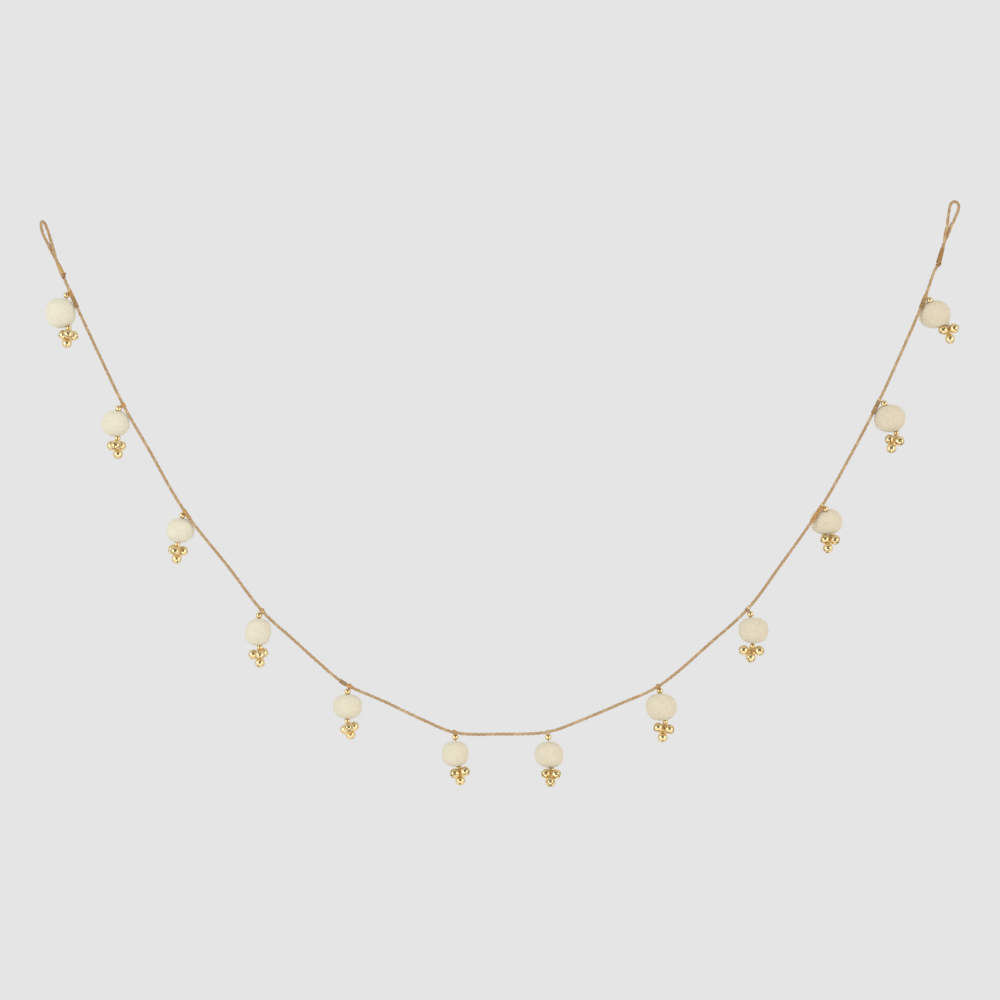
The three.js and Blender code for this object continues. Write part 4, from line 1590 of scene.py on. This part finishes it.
    def build_fuzz(self, ball: bpy.types.Object) -> bpy.types.Object:
        """Builds the loose wool fibres that stand off the ball.

        Args:
            ball: The felt ball.

        Returns:
            The fibres.
        """
        chance = np.random.default_rng(500 + self.number)
        rows = chance.choice(len(ball.data.vertices), self.fuzz_count, replace=False)
        vertices = [ball.data.vertices[int(row)] for row in rows]
        roots = np.array([vertex.co for vertex in vertices])
        normals = np.array([vertex.normal for vertex in vertices])
        clear = np.ones(self.fuzz_count, bool)
        for centre, radius in self._presses():
            clear &= np.linalg.norm(roots - centre, axis=1) > radius + self.fuzz_gap
        roots, normals = roots[clear], normals[clear]
        total = len(roots)
        along = unit(np.cross(normals, chance.normal(size=(total, 3))))
        lean = unit(along + normals * chance.uniform(*self.fuzz_rise, (total, 1)))
        curl = self.fuzz_curl * chance.normal(size=(total, 3)) - self.fuzz_droop * normals
        lengths = chance.uniform(*self.fuzz_lengths, total)
        tubes = TubeSet()
        tubes.add_fibres(roots - normals * self.fuzz_root, lean, curl, lengths, self.fuzz_radius)
        return tubes.build(f"wool_fuzz_{self.label}")


@dataclass
class PendantMaker:
    """Builds and dresses every pendant from the models and the finishes."""

    route: SmoothRoute
    felt: Finish
    loose: Finish
    thread: Finish
    gold: Finish
    top_bead: bpy.types.Object
    low_bead: bpy.types.Object
    bell: bpy.types.Object
    eyelet: bpy.types.Object
    bead_turns: Spot = (0.4, 0.7)
    bell_turns: Spot = (0.9, 1.3)
    eyelet_room: float = 0.0026
    least_eyelet: float = 0.35
    eyelet_seat: float = 0.0001

    def make(self, number: int, plan: Pendant) -> None:
        """Makes one pendant.

        Args:
            number: The pendant's number, from the left.
            plan: Its places and sizes.
        """
        pendant = HangingPendant(number, plan, self.route)
        label = pendant.label
        self.thread.dress(pendant.build_thread(), f"tie_thread_{label}")
        ball = pendant.build_ball()
        self.felt.dress(ball, f"felt_ball_{label}")
        fuzz = pendant.build_fuzz(ball)
        fuzz.visible_shadow = False
        self.loose.dress(fuzz)
        above = pendant.tie
        for model, name, node, place, turn in (
                (self.top_bead, "gold_bead", "top_bead", pendant.top_bead, self.bead_turns[0]),
                (self.low_bead, "low_bead", "bell_cluster", pendant.low_bead, self.bead_turns[1])):
            bead = copied(model, f"{name}_{label}", aimed(place, place - above, turn * number))
            self.gold.dress(bead, f"{node}_{label}")
            above = place
        for index, centre in enumerate(pendant.bells):
            self._hang_bell(pendant, index, centre)

    def _hang_bell(self, pendant: HangingPendant, index: int, centre: Array) -> None:
        """Hangs one bell with its eyelet towards the knot under the low bead.

        Args:
            pendant: The pendant.
            index: The bell's number in its cluster.
            centre: The bell's middle.
        """
        upward = pendant.hub - centre
        spin = self.bell_turns[0] * pendant.number + self.bell_turns[1] * index
        room = float(np.linalg.norm(upward)) - BELL_RADIUS
        scale = min(1.0, max(self.least_eyelet, room / self.eyelet_room))
        bell = copied(self.bell, "bell", aimed(centre, upward, spin))
        top = centre + unit(upward) * (BELL_RADIUS - self.eyelet_seat)
        eyelet = copied(self.eyelet, "eyelet", aimed(top, upward, spin, scale))
        whole = join([bell, eyelet])
        whole.name = f"jingle_bell_{pendant.label}_{index + 1}"
        self.gold.dress(whole, f"bell_cluster_{pendant.label}")


@dataclass(frozen=True)
class Softbox:
    """A soft rectangular light, with its place from the middle of the garland."""

    name: str
    offset: Place
    size: Spot
    power: float
    tint: Place = (1.0, 1.0, 1.0)


@dataclass
class Studio:
    """Camera, lights and floor."""

    middle: Place = (0.4574, 0.0, -0.2769)
    distance: float = 2.7778
    lens: float = 100.0
    sensor: float = 36.0
    backdrop: Colour = (0.783, 0.783, 0.783, 1.0)
    floor_height: float = -1.25
    floor_radius: float = 2.3
    floor_edge: float = 0.08
    floor_tints: tuple[Colour, ...] = ((0.79, 0.79, 0.78, 1.0), (0.83, 0.83, 0.82, 1.0))
    surround: Colour = (0.94, 0.94, 0.94, 1.0)
    mirrored: tuple[Colour, ...] = ((0.74, 0.74, 0.74, 1.0), (0.20, 0.19, 0.17, 1.0))
    dim_sides: Spot = (0.62, 0.38)
    dim_ahead: Spot = (0.1, -0.4)
    softboxes: tuple[Softbox, ...] = (
        Softbox("left_softbox", (-1.9, -1.35, 0.1), (1.3, 1.9), 14.0, (0.96, 0.985, 1.0)),
        Softbox("right_softbox", (1.9, -1.35, 0.1), (1.3, 1.9), 12.0, (1.0, 0.89, 0.80)),
        Softbox("top_softbox", (0.0, -0.9, 2.0), (2.2, 1.2), 3.5),
        Softbox("low_softbox", (0.0, -1.3, -0.85), (1.6, 0.4), 2.6))

    def place_camera(self) -> None:
        """Places the camera level with the garland's middle, looking straight to the back."""
        data = bpy.data.cameras.new("camera")
        data.lens = self.lens
        data.sensor_width = self.sensor
        camera = linked("camera", data)
        x, y, z = self.middle
        camera.location = (x, y - self.distance, z)
        camera.rotation_euler = (math.pi / 2, 0, 0)
        bpy.context.scene.camera = camera
        bpy.context.scene.view_settings.view_transform = "Standard"

    def light(self) -> None:
        """Adds the side, top and low softboxes, and the pale surroundings."""
        for softbox in self.softboxes:
            data = bpy.data.lights.new(softbox.name, "AREA")
            data.shape = "RECTANGLE"
            data.size, data.size_y = softbox.size
            data.energy = softbox.power
            data.color = softbox.tint
            lamp = linked(softbox.name, data)
            lamp.location = Vector(self.middle) + Vector(softbox.offset)
            lamp.rotation_euler = (-Vector(softbox.offset)).to_track_quat("-Z", "Z").to_euler()
        self._surroundings()

    def _surroundings(self) -> None:
        """Makes the world: one pale grey to the eye, and a dim front for what the gold mirrors."""
        world = bpy.data.worlds.new("studio")
        bpy.context.scene.world = world
        world.use_nodes = True
        tree = world.node_tree
        tree.nodes.clear()
        place = tree.nodes.new("ShaderNodeTexCoord").outputs["Generated"]
        way = wire(tree, "ShaderNodeSeparateXYZ", {0: place}).outputs
        narrow = masked(tree, maths(tree, "ABSOLUTE", way[0]), *self.dim_sides)
        dim = maths(tree, "MULTIPLY", narrow, masked(tree, way[1], *self.dim_ahead))
        paths = tree.nodes.new("ShaderNodeLightPath").outputs
        soft = mixed(tree, paths["Is Glossy Ray"], self.surround, mixed(tree, dim, *self.mirrored))
        seen = mixed(tree, paths["Is Camera Ray"], soft, self.backdrop)
        background = wire(tree, "ShaderNodeBackground", {"Color": seen, "Strength": 1.0})
        wire(tree, "ShaderNodeOutputWorld", {"Surface": background.outputs[0]})

    def lay_floor(self) -> None:
        """Lays the pale floor under the garland."""
        deselect()
        x, y, _ = self.middle
        bpy.ops.mesh.primitive_circle_add(vertices=96, radius=self.floor_radius, fill_type="NGON",
                                          location=(x, y, self.floor_height))
        floor = bpy.context.active_object
        floor.name = "pale_floor"
        bpy.ops.object.mode_set(mode="EDIT")
        bpy.ops.mesh.select_all(action="SELECT")
        bpy.ops.mesh.inset(thickness=self.floor_edge)
        bpy.ops.object.mode_set(mode="OBJECT")
        settle(floor)
        material, tree, shader = new_material("pale_floor")
        grain = noise_of(tree, object_place(tree), 14.0, 4.0)
        feed(tree, shader, {"Base Color": mixed(tree, grain, *self.floor_tints), "Roughness": 0.9})
        floor.data.materials.append(material)


def main() -> None:
    """Builds the garland: camera and cord first, then its ends, its pendants, floor and lights."""
    logging.basicConfig(level=logging.INFO, format="%(message)s")
    studio = Studio()
    studio.place_camera()
    effects = SharedEffects()
    cord_finish = Finish(CordFinish().make(effects), "cord")
    thread_finish = Finish(ThreadFinish().make(effects), "thread")
    felt_finish = Finish(FeltFinish().make(effects), "felt")
    loose_finish = Finish(FeltFinish().make_loose(), "felt")
    gold_finish = Finish(GoldFinish().make(effects), "gold")

    route = cord_route()
    garland_cord = GarlandCord(route)
    cord = garland_cord.build()
    cord_finish.dress(cord, "cord")
    for end in (LEFT_END, RIGHT_END):
        binding = EndBinding(end, route)
        thread_finish.dress(binding.build_whipping(), f"{end.name}_whipping")
        knot = binding.build_knot()
        thread_finish.dress(knot, f"{end.name}_knot")
    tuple(LEFT_END.tail[-1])
    LOG.info("cord length: %.4f m", route.length)

    maker = PendantMaker(
        route, felt_finish, loose_finish, thread_finish, gold_finish,
        BeadModel(TOP_BEAD_RADIUS).build("top_bead_model"),
        BeadModel(LOW_BEAD_RADIUS).build("low_bead_model"),
        JingleBellModel().build(), EyeletModel().build())
    for number, plan in enumerate(PENDANTS, start=1):
        maker.make(number, plan)
    for model in (maker.top_bead, maker.low_bead, maker.bell, maker.eyelet):
        bpy.data.objects.remove(model)

    studio.lay_floor()
    studio.light()


if __name__ == "__main__":
    main()
